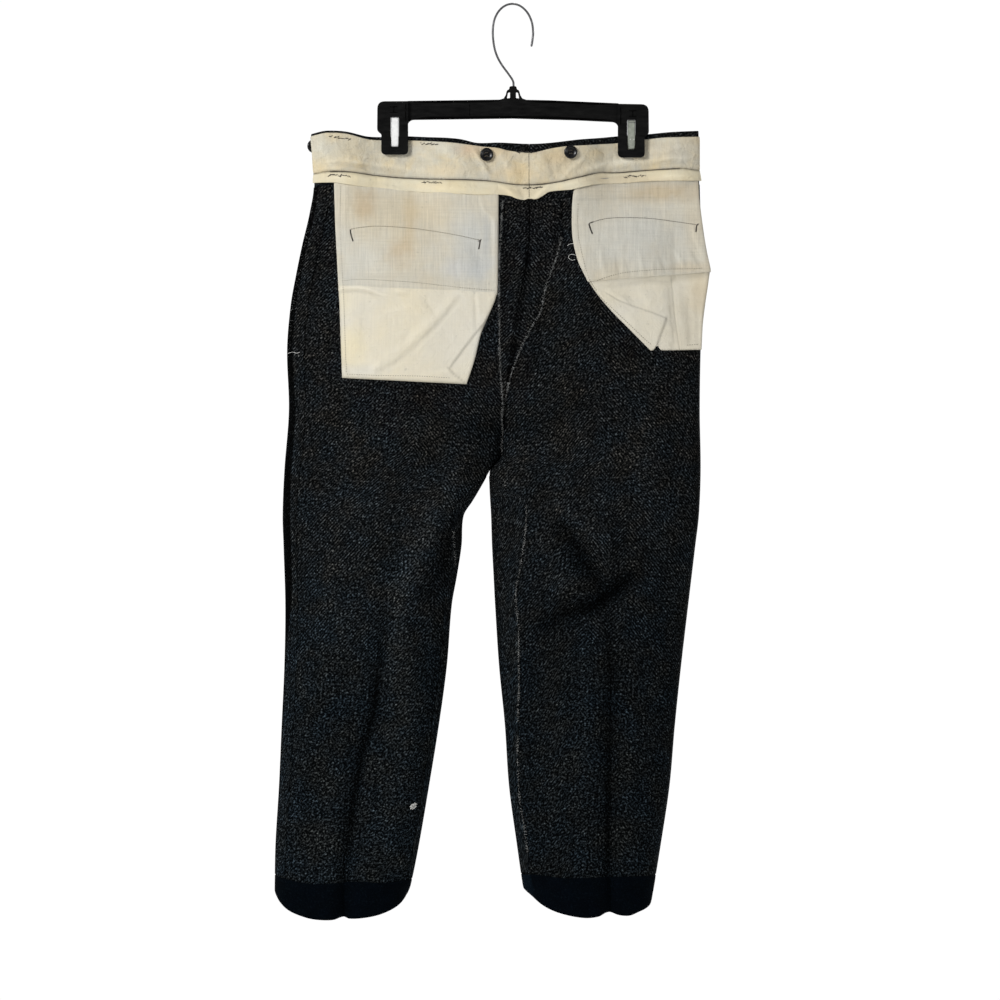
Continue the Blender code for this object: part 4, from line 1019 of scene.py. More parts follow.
for side, face in quarters:
    t = shareSteps(waist["columns"][face])
    rim = waistHeight(side, t, "rim") - 0.7 * mm
    seam = waistHeight(side, t, "seam") - 1.7 * mm
    drops, lifts = np.array(waist["rim"]).T * mm
    z = np.concatenate([rim + drops[:, None], seam[None]])
    base = placed(side, face, np.broadcast_to(t, z.shape), z)
    even = rim + np.linspace(0, 1, len(z))[:, None] * (seam - rim)
    wall = placed(side, face, np.broadcast_to(t, z.shape), even)
    grid = base + (raised(wall, side, face, 1.0) - wall) * np.append(lifts, lifts[-1])[:, None, None]
    for end in (0, -1):
        grid[:, end, 1] = np.sign(grid[:, 1, 1]) * np.maximum(np.abs(grid[:, end, 1]), 0.2 * mm)
    upTo = along(centreSeam, "x", grid[:, -1, 2]) - inward[side] * 0.15 * mm
    grid[:, -1, 0] = (np.minimum if side == "left" else np.maximum)(grid[:, -1, 0], upTo)
    sheetPiece(f"waistband.{face}.{side}", grid, waist["wool"], woolBySide[side], "wool")
    for cloth, form in waistCloths.items():
        down = np.linspace(0, 1, form["rows"])[:, None]
        high, low = (waistHeight(side, t, line) + past for line, past in (form["top"], form["bottom"]))
        z = high + (low - high) * down
        grid = seamed(side, face, placed(side, face, np.broadcast_to(t, z.shape), z), waist[cloth])
        lift = form["lift"](grid[..., 0], grid[..., 2]) if face == "back" else waist[cloth + "Lift"]
        # Both cloths dip into the seam between them, and the facing's top is turned under
        fromSeam = 1 - down if cloth == "facing" else down
        lift = lift - 0.75 * mm * np.exp(-(fromSeam * form["dip"]) ** 2)
        if cloth == "facing":
            lift = lift - 0.45 * mm * np.exp(-(down * 24) ** 2)
        grid = raised(grid, side, face, lift)
        # Painted shade and painted highlight along the creases, and painted shade where the cloth dips into
        # the seam
        tone = 1 + 0.10 * creaseRise(form["creases"], grid[..., 0], grid[..., 2], 1.0) * (face == "back")
        tone = tone - 0.35 * np.exp(-(fromSeam * form["shade"]) ** 2)
        sheetPiece(f"waist.{cloth}.{face}.{side}", grid, waist[cloth], cottons[cloth], "facing_cotton",
            tone=tone)
print("waist made")

# Seam allowances, inlays and hem bands
allowance = {"thickness": 0.9 * mm, "lift": 1.65 * mm, "top": -209 * mm, "end": -973 * mm,
    "inseamTop": -530 * mm}


def edgeLift(shares, lift):  # the raw edge lies down on the panel
    return lift - 0.3 * mm * np.exp(-((1 - shares) * 9) ** 2)


sideShares = {"left": np.linspace(0, 0.075, 15), "right": np.linspace(0, 0.11, 10)}
darkStrip = np.array((  # its reach from the edge by the height
    (0.5, -973), (1.5, -720), (6.6, -672), (7.6, -640), (7.8, -540), (7.0, -470), (5.6, -380), (5.0, -250),
    (4.6, -209))) * mm
for side, face in (("left", "back"), ("right", "front")):
    shares = sideShares[side]
    grid = clothGrid(side, face, np.append(shares, 1), np.linspace(allowance["top"], allowance["end"], 210))
    grid = seamed(side, face, grid, panels["thickness"])[:, :-1]
    grid[..., 0] += 0.8 * mm * np.sin(grid[..., 2] * 210) * np.linspace(0, 1, len(shares)) ** 4
    lift = edgeLift(np.linspace(0, 1, len(shares)), allowance["lift"])
    grid = withinSides(raised(grid, side, face, lift), side)
    tone = None
    if side == "left":  # a strip along the edge lies in shadow, and its inner side is rubbed light
        z = grid[..., 2]
        reach = smooth(darkStrip[:, 1], darkStrip[:, 0], z)
        away = grid[..., 0] - edgesAt(side, z)[0]
        within = 1 - ease((away - reach) / (1.3 * mm) + 0.5)
        rubbed = 0.35 * np.exp(-((away - reach - 1.4 * mm) / (0.9 * mm)) ** 2)
        tone = (1 - 0.82 * within + rubbed) * paintedWoolShade(grid[..., 0], z)
    sheetPiece(f"sideAllowance.{side}", grid, allowance["thickness"], woolBySide[side], "wool",
        tone=tone)

# The inseam allowances' raw edges, as shares of the panel's width from the inseam
inseamWidths = {
    "left": ((-530, 0.075), (-560, 0.070), (-592, 0.060), (-629, 0.045), (-700, 0.04), (-850, 0.04),
        (-973, 0.035)),
    "right": ((-530, 0.165), (-560, 0.169), (-602, 0.158), (-633, 0.134), (-663, 0.109), (-693, 0.114),
        (-723, 0.115), (-766, 0.098), (-824, 0.073), (-890, 0.060), (-918, 0.069), (-973, 0.066)),
}
inseamEdges = {}
for side, widths in inseamWidths.items():
    widths = np.array(widths)[::-1] * (mm, 1)
    rows = []
    for level in np.linspace(allowance["inseamTop"], allowance["end"], 190):
        begun = 0.12 + 0.88 * ease((allowance["inseamTop"] - level) / 0.03)
        inmost = smooth(widths[:, 0], widths[:, 1], level) * begun
        shares = 1 - inmost * np.linspace(1, 0, 16)
        row = clothGrid(side, "back", np.append(0, shares), [level])
        rows.append(seamed(side, "back", row, panels["thickness"])[0, 1:])
    grid = np.stack(rows)
    grid[:, 0, 0] += 0.5 * mm * np.sin(grid[:, 0, 2] * 410) * np.sin(grid[:, 0, 2] * 173)
    inseamEdges[side] = grid[:, 0][:, [0, 2]].copy()
    rising = 0.25 + 0.75 * ease(np.arange(len(grid)) / 10)[:, None]
    settled = edgeLift(np.linspace(0, 1, 16), allowance["lift"] + 0.1 * mm)[::-1]
    lift = 0.9 * mm + (settled - 0.9 * mm) * rising
    tone = paintedWoolShade(grid[..., 0], grid[..., 2])
    grid = withinSides(raised(grid, side, "back", lift), side)
    sheetPiece(f"inseamAllowance.{side}", grid, allowance["thickness"], woolBySide[side], "wool",
        tone=tone)

inlayEdges = {
    "left": spots((502.6, 200), (500.5, 238), (499.2, 262), (499, 284), (499.2, 314), (499.6, 350),
        (500.6, 380), (502, 406)),
    "right": spots((561.5, 202), (561.5, 238), (558, 252), (554, 265), (548, 280), (545, 290), (540.5, 312),
        (529.5, 331), (520, 351), (512, 373), (505.5, 402)),
}
for side, edge in inlayEdges.items():
    z = np.linspace(edge[0, 1], edge[-1, 1], 84)[:, None]
    start = along(centreSeam, "x", z) - inward[side] * 0.4 * mm
    end = smooth(edge[::-1, 1], edge[::-1, 0], z) + 0.5 * mm * np.sin(z * 640) * np.sin(z * 233)
    across = np.linspace(0, 1, 18)[None]
    x = start + (end - start) * across
    z = z + 0 * x
    lift = edgeLift(across, allowance["lift"]) - 0.7 * mm * np.exp(-(across * 9) ** 2)
    grid = lying(side, "back", x, z, lift)
    sheetPiece(f"seatInlay.{side}", grid, allowance["thickness"], woolBySide[side], "wool",
        tone=paintedWoolShade(x, z))

hem = {"thickness": 1.0 * mm, "lift": 1.7 * mm, "backColumns": 70, "frontColumns": 40}
turnedUp = spots((537, 912), (536, 902), (534, 888), (530, 872))
for side, face in quarters:
    levels = np.linspace(garment["hemBandTop"], garment["hem"] - 0.3 * mm, 12)
    grid = seamed(side, face, clothGrid(side, face, shareSteps(hem[face + "Columns"]), levels),
        panels["thickness"])
    down = np.linspace(0, 1, 12)[:, None]
    lift = hem["lift"] - 0.5 * mm * np.exp(-(down * 8) ** 2) - 1.2 * mm * np.exp(-((1 - down) * 9) ** 2)
    grid = withinSides(raised(grid, side, face, lift), side)
    tone = None
    if (side, face) == ("right", "back"):  # the allowance's end shows through at the inner edge
        away = grid[..., 0] - smooth(turnedUp[:, 1], turnedUp[:, 0], grid[..., 2])
        tone = 1 + 1.4 * (1 - ease(away / (1.5 * mm) + 0.5)) - 0.5 * np.exp(-(away / (1.1 * mm)) ** 2)
    sheetPiece(f"hemBand.{face}.{side}", grid, hem["thickness"], hemWool, "hem_wool",
        tone=tone)

fly = {"top": -224 * mm, "bottom": -395 * mm, "left": ("flyShield", 34 * mm),
    "right": ("flyFacing", 42 * mm)}
for side in inward:
    name, width = fly[side]
    down = np.linspace(0, 1, 60)[:, None]
    reach = width * (1 - 0.75 * ease((down - 0.72) / 0.28))
    z = np.linspace(fly["top"], fly["bottom"], 60)[:, None]
    across = np.linspace(0, 1, 14)[None]
    x = along(centreSeam, "x", z) - inward[side] * (0.5 * mm + reach * across)
    lift = edgeLift(across, allowance["lift"]) - 0.5 * mm * np.exp(-(across * 9) ** 2)
    grid = lying(side, "front", x, z + 0 * x, lift)
    sheetPiece(name, grid, allowance["thickness"], woolBySide[side], "wool")
print("allowances, inlays, hems and fly made")

# Pocket patches and bags
pockets = {"patchThickness": 0.9 * mm, "bagThickness": 1.1 * mm, "patchLift": 2.5 * mm, "bagLift": 2.2 * mm,
    "inset": {"left": 0.0, "right": 30 * mm}}
pocketRows = {
    "patch.left": table("xl zl xr zr", (-201, -195, -16.5, -208), (-200.4, -214, -16.4, -226),
        (-199, -255, -16.6, -264), (-196.6, -300, -17.2, -312), (-195.6, -320, -17.8, -327)),
    "bag.left": table("xl zl xr zr", (-196.2, -310, -17.5, -316), (-195.4, -324, -19.2, -329),
        (-194.5, -338, -24.5, -343), (-193.5, -366, -35.5, -369), (-192.5, -394, -43, -399),
        (-191.5, -420, -52.3, -427)),
    "patch.right": table("xl zl xr zr", (70, -203, 208, -193), (66.5, -224, 209.5, -219.5),
        (66.5, -259, 213.5, -252), (72, -286, 217.5, -277), (80, -304, 221.6, -296), (84, -312, 222, -301)),
    "bag.right": table("xl zl xr zr", (82, -307, 221.5, -297), (94.5, -326, 218.5, -318),
        (111.5, -346, 215.5, -338), (128.5, -363, 213, -358), (146.5, -381, 212, -376),
        (154.5, -389, 211.5, -388)),
}
pocketCreases = {  # points in pixels, width in pixels, rise in mm
    "patch.left": (
        (((345, 188), (345, 236)), 1.6, 0.6), (((480, 196), (484, 211), (493.4, 219.6), (495, 228),
                (495.4, 286)), 1.8, 1.0),
        (((473, 248), (480, 270)), 4.5, -0.8), (((418, 234), (420, 282)), 3, 0.4),
        (((455, 260), (459, 284)), 3, -0.5), (((366, 238), (381, 277)), 8, 0.6),
        (((340, 276), (420, 278.4), (494, 287)), 2.6, -0.5), (((395, 196), (402, 228)), 5, -0.4)),
    "bag.left": (
        (((339, 289.6), (350, 288.4), (360, 288.2), (372, 290.6), (382, 294.6), (392, 297)), 1.5, 1.3),
        (((340, 293.4), (356, 292), (370, 294.2), (384, 299)), 1.7, -1.4),
        (((396, 291), (408, 293.4)), 1.6, 0.8), (((398, 295), (412, 298)), 1.8, -0.6),
        (((461, 297), (453, 307), (447, 315), (432, 331), (415.7, 346.5), (396.5, 363), (378, 373)),
            2.4, -1.5),
        (((456, 296), (444, 309), (428, 325), (410, 342), (390, 358)), 5.5, 0.8),
        (((474.5, 293), (475.4, 312), (476.6, 332)), 1.4, -0.8), (((478.6, 294), (480, 324)), 1.9, 0.5),
        (((372, 373), (381, 361)), 3.4, 1.0), (((425, 300), (436, 316)), 2.6, -0.8),
        (((386, 313), (411, 307)), 2.6, 0.6), (((341, 370), (372, 375.6)), 2.6, 0.8),
        (((455, 371), (420, 375.6)), 2.6, 0.6), (((352, 300), (350, 360)), 5, 0.5),
        (((366, 300), (362, 352)), 4, -0.5), (((345, 362), (352, 375)), 2.6, -0.8),
        (((410, 330), (404, 345)), 3, -0.6)),
    "patch.right": (
        (((574, 201), (600, 199.4), (640, 198.6), (700, 199.4)), 1.4, -1.0),
        (((656, 184), (657, 198)), 1.5, 0.8), (((664, 202), (664.6, 222)), 1.8, 0.5),
        (((600, 250), (605, 282)), 2.6, 0.7), (((616, 258), (619, 279)), 2, -0.8),
        (((640, 256), (643, 276)), 2.2, 0.8), (((659, 256), (666, 276)), 2.2, -0.8),
        (((676, 252), (685, 270)), 2.4, 0.9), (((691, 250), (701, 268)), 2.4, -0.9),
        (((630, 205), (632, 240)), 4, 0.5), (((690, 222), (704, 262)), 2.6, 0.7),
        (((626, 262), (630, 277)), 2, -0.6), (((650, 262), (653, 276)), 2, 0.6),
        (((582, 210), (584, 262), (592, 284)), 3.4, 0.6)),
    "bag.right": (
        (((606, 288), (626, 285), (648, 281.6), (668, 282.6), (673, 279.8), (700, 276.2), (710, 275.2)),
            2.6, -1.7),
        (((668.6, 284), (670.4, 311), (676, 347)), 2.0, -0.7),
        (((677.6, 284), (680, 312), (686, 348)), 3.0, 0.5),
        (((606, 291), (618, 298), (633, 306)), 2.6, 1.0), (((625, 295), (633, 305)), 2.2, -1.3),
        (((690, 288), (695, 335)), 5, 0.8), (((620, 310), (640, 331)), 5.5, 0.9),
        (((700, 305), (702, 342)), 2.6, 0.8), (((688, 300), (690, 344)), 3, -0.7),
        (((640, 290), (650, 306)), 4, 0.6), (((671, 280), (671.8, 292), (673.8, 312), (676.6, 331),
                (679.8, 350)), 0.9, -1.5)),
}
# A fold's free edge: the cloth to one side of the line lies higher by this much
pocketSteps = {
    "patch.left": (), "patch.right": (),
    "bag.left": ((((491.5, 313), (483, 325), (474, 336), (461, 353), (449, 369)), -1.7),
        (((447.6, 368.4), (457, 377.4), (467, 384.4)), -1.2)),
    "bag.right": ((((670.4, 277), (671.6, 292), (673.6, 312), (676.4, 331), (679.6, 352)), 1.3),
        (((666, 317), (662.4, 328), (655.6, 347)), -1.5),
        (((605, 293.4), (618, 301), (632, 306.6), (650, 312.6), (666, 319)), -1.2)),
}


def stepRise(steps, x, z, unit=mm):
    total = 0 * x
    for points, height in steps:
        distance, sideOf, run = nearLine(spots(*points), x, z)
        within = ease(run / 0.12) * ease((1 - run) / 0.12)
        edge = np.clip(sideOf * distance / (0.7 * mm), -1, 1)
        total = total + height * unit * 0.5 * edge * np.exp(-(distance / (8 * mm)) ** 2) * within
    return total


def stepShadow(steps, x, z):  # a thin dark line along each free edge
    total = 0 * x
    for points, height in steps:
        distance, sideOf, run = nearLine(spots(*points), x, z)
        total = total - 0.2 * np.exp(-(distance / (0.8 * mm)) ** 2)
    return total


def pocketLift(name, x, z):
    base = pockets[name.split(".")[0] + "Lift"]
    worked = creaseRise(pocketCreases[name], x, z) + stepRise(pocketSteps[name], x, z)
    return base + worked + 0.5 * waves(x * 1.9, z * 1.9)


def pocketPlaces(name, u, v):  # X and Z by the shares across and down
    rows = pocketRows[name]
    count = len(rows["xl"]) - 1
    keys = np.arange(count + 1, dtype=float)
    xl, zl, xr, zr = (smooth(keys, rows[column], v * count) for column in ("xl", "zl", "xr", "zr"))
    return xl + (xr - xl) * u, zl + (zr - zl) * u


pocketGrids = {"patch.left": (120, 62), "bag.left": (118, 66), "patch.right": (100, 66),
    "bag.right": (100, 60)}
for name, (columnCount, rowCount) in pocketGrids.items():
    kind, side = name.split(".")
    u, v = np.meshgrid(np.linspace(0, 1, columnCount), np.linspace(0, 1, rowCount))
    x, z = pocketPlaces(name, u, v)
    if kind == "patch":  # the top edge follows the curtain, a little above its hem
        top = smooth(waistLines["curtain"][:, 0], waistLines["curtain"][:, 1], x[0]) + 7 * mm
        z = z + (top - z[0])[None] * (1 - ease(v / 0.3))
    if name == "bag.right":  # the notch between the two tips
        away = (x - spot(656.6, 0)[0]) / (2.5 * mm)
        z = z + 8.0 * mm * np.exp(-np.abs(away) ** 1.6) * ease((v - 0.86) / 0.14)
    lift = np.maximum(pocketLift(name, x, z), 1.35 * mm)
    # Painted shade and painted highlight along the creases, and a painted shadow line along each free edge
    tone = 1 + 0.075 * creaseRise(pocketCreases[name], x, z, 1.0) + stepShadow(pocketSteps[name], x, z)
    border = np.minimum(np.minimum(u, 1 - u) * (columnCount - 1),
        (1 - v) * (rowCount - 1) if kind == "bag" else 99)
    lift = lift - 0.7 * mm * np.exp(-(border / 1.2) ** 2) + 0.25 * mm * np.exp(-((border - 2.4) / 1.4) ** 2)
    if kind == "patch":
        lift = lift - 1.15 * mm * (1 - ease((v - 0.04) / 0.10))
        lift = lift - 0.5 * mm * ease((v - 0.9) / 0.1)
    else:
        lift = lift - 0.9 * mm * (1 - ease(v / 0.10))
    # Painted shade along the bag's edges and painted shadow at each piece's top, under the cloth above
    tone = tone - 0.25 * np.exp(-(border / 1.0) ** 2) * (kind == "bag") - 0.4 * np.exp(-(v / 0.06) ** 2)
    inset = pockets["inset"][side] * (ease(v / 0.22) if kind == "patch" else 1)
    grid = lying(side, "back", x, z, lift, inset)
    if side == "left":
        grid[..., 0] = np.minimum(grid[..., 0], along(centreSeam, "x", z) - 1.2 * mm)
    slot = {"patch": "pocket_cotton", "bag": "bag_cotton"}[kind]
    sheetPiece(f"pocket.{name}", grid, pockets[kind + "Thickness"], cottons[kind], slot,
        tone=tone, upright=True)
print("pockets made")

# Sewing
def above(lift, extra):  # a little above the surface that another lift gives
    return lambda x, z: lift(x, z) + extra


def pocketTop(name, extra):
    return lambda x, z: pocketLift(name, x, z) + extra


def laid(path, step, lift, radius, inset=0.0):  # one thread along a smooth line on the seen side
    x, z = walk(path, step)[0].T
    return onBack(x, z, lift(x, z) if callable(lift) else lift, inset), radius


def stroke(centre, turn, size, count):  # a short straight thread
    way = np.array((math.cos(turn), math.sin(turn)))
    return centre + np.linspace(-0.5, 0.5, count)[:, None] * size * way


patchTop = {side: pocketTop("patch." + side, 0.45 * mm) for side in inward}
bagTop = {side: pocketTop("bag." + side, 0.6 * mm) for side in inward}
insetRight = pockets["inset"]["right"]
facingTop = above(facingLift, 0.45 * mm)
curtainTop = above(curtainLift, 0.45 * mm)
inlayTop = 2.1 * mm

# The dark seam between facing and curtain, sunk between them
seamLine = waistLines["seam"]
inside = seamLine[(seamLine[:, 0] > spot(316, 0)[0]) & (seamLine[:, 0] < spot(697, 0)[0])]
seamCord = [laid(inside, 1.2 * mm, above(facingLift, -0.15 * mm), 0.42 * mm)]
seamCord += stitchLine(inside, facingTop, stitch=1.7 * mm, step=2.4 * mm, radius=0.3 * mm, bulge=0.1 * mm)
tubePiece("thread.waistSeam", seamCord, threads["seamThread"], sides=6)

darkWork = []
# Groups of hand stitches through the facing and the curtain, and at the centre back
for (x1, y1), (x2, y2), count, seed, lift in (
        ((330, 136.8), (350, 139.2), 7, 3, facingTop), ((421, 143.6), (439, 144.8), 7, 4, facingTop),
        ((329, 175.6), (350, 176.4), 8, 5, curtainTop), ((422, 182.6), (442, 183.4), 7, 6, curtainTop),
        ((523, 189.5), (542, 188.4), 8, 7, curtainTop), ((624, 177.2), (646, 175.8), 8, 8, curtainTop),
        ((516, 152.6), (537, 152.4), 7, 9, facingTop)):
    dice = random.Random(seed)
    count = int(count * 1.7)
    for k in range(count):
        share = (k + dice.uniform(0.15, 0.85)) / count
        centre = np.array(spot(x1 + (x2 - x1) * share, y1 + (y2 - y1) * share + dice.uniform(-0.8, 0.8)))
        turn = dice.uniform(-0.8, 0.8)
        x, z = stroke(centre, turn, dice.uniform(1.5, 4.0) * mm, 5).T
        rise = lift(x, z) + 0.2 * mm * np.sin(np.linspace(0, math.pi, 5))
        darkWork.append((onBack(x, z, rise), dice.uniform(0.3, 0.62) * mm * np.array((0.4, 1, 1, 1, 0.4))))
# The welts' dark stitching and their bar tacks
weltLeft = spots((351, 230), (361, 228.4), (374, 227.4), (390, 227.8), (419, 230.2), (440, 233),
    (459, 236.4), (480, 241))
weltRight = spots((590, 223.6), (603, 220.4), (615, 219.2), (627, 219), (645, 219.4), (664, 221),
    (680, 223), (697, 225.6))
darkWork += stitchLine(weltRight, patchTop["right"], stitch=2.1 * mm, step=2.5 * mm, radius=0.30 * mm,
    inset=insetRight, uneven=0.1)
brownWork = stitchLine(weltLeft, patchTop["left"], stitch=1.6 * mm, step=2.7 * mm,
    radius=0.38 * mm, uneven=0.12)
for line, side in (
        (((350.8, 230.2), (351.4, 234.6), (353.6, 242.2)), "left"),
        (((480.6, 240.4), (479.6, 245), (478.8, 250.4)), "left"),
        (((478.4, 242.2), (481.6, 240.2)), "left"), (((592.6, 223), (588.6, 224.6), (589.6, 229),
                (592, 235)), "right"),
        (((698.4, 224.4), (696.6, 226), (696, 229), (695.6, 233)), "right")):
    for apart in (-1, 0, 1):
        tack = spots(*line) + np.array((0.28, 0.2)) * apart * mm
        darkWork.append(laid(tack, 0.7 * mm, above(patchTop[side], 0.2 * mm), 0.42 * mm,
                pockets["inset"][side]))
tubePiece("thread.darkWork", darkWork, threads["darkThread"])

# Machine stitching that is nearly the cotton's own colour
dullWork = []
for path, lift, inset in (
        (spots((342, 281.6), (354, 280.2), (367, 280), (390, 281.4), (413, 283), (436, 285.4), (459, 288),
                (480, 290), (495, 291)), patchTop["left"], 0),
        (spots((596, 281.5), (612, 276), (626, 273), (645, 271), (664, 269.8), (685, 269.2), (702, 268.8)),
            patchTop["right"], insetRight),
        (spots((341, 186), (341, 236), (344, 290), (347, 372), (347.5, 374)), bagTop["left"], 0),
        (spots((347, 374.6), (380, 376), (420, 376.6), (450, 378.4)), bagTop["left"], 0),
        (spots((577.5, 204), (577.6, 232), (582, 256), (589, 280), (596, 291)),
            patchTop["right"], insetRight),
        (spots((598, 296), (614, 311), (630, 326), (646, 341), (651, 345)), bagTop["right"], insetRight),
        (spots((686, 345.4), (698, 344.6)), bagTop["right"], insetRight)):
    dullWork += stitchLine(path, lift, stitch=1.5 * mm, step=2.7 * mm, radius=0.34 * mm, bulge=0.1 * mm,
        uneven=0.08, inset=inset)
tubePiece("thread.cottonSeams", dullWork, threads["dullThread"], sides=5)
tubePiece("thread.leftWelt", brownWork, threads["brownThread"], sides=5)

# The centre-back join of the facing
centreLine = spots((529, 153.5), (529.1, 168), (529, 184), (529.2, 199))


def centreTop(x, z):  # on the facing down to the seam, and on the curtain below
    return np.where(z > spot(0, 185.5)[1], facingLift(x, z), curtainLift(x, z)) + 0.42 * mm


tubePiece("thread.centreJoin", [laid(centreLine, 1.0 * mm, centreTop, 0.26 * mm)],
    threads["seamThread"], sides=5)

# The wool's own seams: cords that close the joins of the panels at the centre back and between the legs
joins = []


def closeJoin(x, y, z, radius):
    joins.append((np.stack([x, y + 0 * x, z], -1), radius))


centreBack = spots((529, 145), (529.1, 200), (529, 225), (527.4, 256), (522.4, 280), (516, 310), (511, 345),
    (508, 380), (505, 420), (502, 452))
z = walk(centreBack, 2.0 * mm)[0][:, 1]
x = along(centreSeam, "x", z)
for face, out in (("back", -1), ("front", 1)):
    closeJoin(x, out * (clothDepth("left", face, x, z) - 0.6 * mm), z, 0.9 * mm)
z = walk(spots((502, 448), (500.6, 456), (496, 463), (489.6, 470.4)), 2.0 * mm)[0][:, 1]
closeJoin((along(inseams, "left", z) + along(inseams, "right", z)) / 2, -1.2 * mm, z, 1.5 * mm)
z = np.linspace(-150 * mm, -990 * mm, 240)
legs = z < -540 * mm
for side in inward:
    outer, inner = edgesAt(side, z)
    closeJoin(outer + inward[side] * 0.75 * mm, 0, z, 0.8 * mm)
    closeJoin(inner[legs] - inward[side] * 0.75 * mm, 0, z[legs], 0.8 * mm)
tubePiece("wool.joins", joins, hemWool, sides=8, slot="wool")

# Overcast and frayed raw edges of the wool
overcast = []
fray = []
for k, (path, lift, density) in enumerate((
        (inlayEdges["left"], inlayTop, 1.5), (inlayEdges["right"][1:], inlayTop, 1.1),
        (spots((503, 398), (501, 420), (502, 433), (500.6, 446), (501.4, 456)), 1.5 * mm, 2.2),
        (inseamEdges["right"][14:126:8], inlayTop, 0.8), (inseamEdges["right"][124:188:8], inlayTop, 0.5),
        (spots((452.4, 531), (453, 548), (454, 564)), inlayTop, 0.7),
        (spots((506, 480), (504, 513), (502.6, 550), (502, 590), (502, 640)), 1.2 * mm, 0.3))):
    length = np.linalg.norm(np.diff(path, axis=0), axis=1).sum()
    for turn in (0.85, -0.65):
        overcast += stitchLine(path, lift, stitch=3.1 * mm, step=2.3 * mm / density ** 0.5,
            radius=0.26 * mm, slant=turn, uneven=0.6, skip=0.45, seed=20 + k + int(turn * 10))
    fray += hairs(path, lift, int(length / mm * 0.9 * density), 2.4 * mm, 0.14 * mm, 40 + k)
tubePiece("thread.overcast", overcast, threads["paleThread"])
sideEdge = spots((315.5, 190), (313.6, 206), (309, 230), (303, 262), (297, 290), (292, 320), (291, 350))
fray += hairs(sideEdge, inlayTop, 70, 2.4 * mm, 0.15 * mm, 61)
# Lint and loose hairs all over the wool
dice = random.Random(77)
for k in range(150):
    level = dice.uniform(garment["hem"] + 0.03, -0.215)
    side = dice.choice(("left", "right"))
    outer, inner = edgesAt(side, np.array([level]))
    x = outer + (inner - outer) * dice.uniform(0.05, 0.95)
    angle = dice.uniform(0, math.tau)
    run = dice.uniform(0.6, 1.5) * mm * np.array((0, 0.35, 0.7, 1))
    bent = angle + 0.5 * np.array((0, 0.35, 0.7, 1))
    strand = lying(side, "back", x + run * np.cos(bent), level + run * np.sin(bent), 0.75 * mm)
    fray.append((strand, 0.13 * mm))
tubePiece("thread.fray", fray, threads["greyFray"], sides=4)

# Two loops of basting thread by the right bag, a white end at the left side, and a white speck
strands = [laid(spots(*line), 0.8 * mm, lift * mm, 0.24 * mm) for line, lift in (
    (((567, 246.4), (570, 244.6), (574, 244.6), (576.5, 246)), 1.25),
    (((576, 256), (571, 255), (568.2, 257.6), (571, 260.6), (575.6, 260.2)), 1.25),
    (((289.5, 353.6), (294, 352.4), (298, 353.4), (301, 352.6)), 2.6))]
dice = random.Random(5)
for k in range(120):  # the speck is a slanted oval
    angle = dice.uniform(0, math.tau)
    reach = dice.random() ** 0.5
    longer = 3.6 * reach * math.cos(angle)
    shorter = 2.3 * reach * math.sin(angle)
    centre = np.array(spot(412.8 + 0.76 * longer + 0.64 * shorter, 805.4 - 0.64 * longer + 0.76 * shorter))
    x, z = stroke(centre, dice.uniform(0, math.tau), 1.5 * mm, 4).T
    strands.append((onBack(x, z, (0.8 + dice.uniform(0, 0.7)) * mm), 0.22 * mm))
tubePiece("thread.whiteEnds", strands, threads["whiteThread"], sides=5)
print("sewing made")

# Buttons
button = {
    "diameter": 15 * mm, "thickness": 3 * mm, "sides": 48,
    "hole": 1.8 * mm, "spacing": 3.4 * mm, "under": 2.25 * mm,
    # Shares of the radius and heights in mm, from the dished middle over the rim to the back
    "profile": ((0, 0.5), (0.30, 0.5), (0.52, 0.58), (0.64, 0.95), (0.72, 1.38), (0.8, 1.5), (0.88, 1.44),
        (0.965, 0.95), (1, 0.3), (0.985, -0.3), (0.9, -1.15), (0.7, -1.5), (0, -1.5)),
}
# The side and face, the share across the panel, the height and the room under the button, both in mm
buttonPlaces = {
    "back_left": ("left", "back", 0.802, -169.2, 0.8),
    "back_right": ("right", "back", 0.756, -166.4, 0.8),
    "front_outer_left": ("left", "front", 0.012, -158.5, 0.8),
    "front_inner_left": ("left", "front", 0.17, -163.0, -0.3),
    "front_outer_right": ("right", "front", 0.2, -160.0, 0.6),
    "front_inner_right": ("right", "front", 0.72, -166.0, -0.3),
}


def makeButtonMaterial():
    made, tree, shader = newMaterial("buttonBlack", roughness=0.3, specular=0.28)
    where = objectPlace(tree)
    cloudy = spread(tree, grainNoise(tree, where, 420.0, 4.0, 0.6), 0.34, 0.7)
    feed(tree, shader.inputs["Base Color"], blend(tree, cloudy, (0.0028, 0.0028, 0.0033),
            (0.012, 0.0115, 0.012)))
    scuffs = grainNoise(tree, stretched(tree, where, 900.0, 900.0, 2600.0), 1.0, 3.0, 0.7)
    feed(tree, shader.inputs["Roughness"], spread(tree, scuffs, 0.35, 0.7, 0.16, 0.4))
    setBump(tree, shader, scuffs, 0.12, 0.2 * mm)
    return made


def cutAway(piece, cutter):
    modify(piece, "BOOLEAN", object=cutter)
    mesh = resultOf(piece)
    piece.modifiers.clear()
    piece.data = mesh
    bpy.data.objects.remove(cutter)


def asMesh(made, name):  # ends the editing of a bmesh
    mesh = bpy.data.meshes.new(name)
    made.to_mesh(mesh)
    made.free()
    return mesh


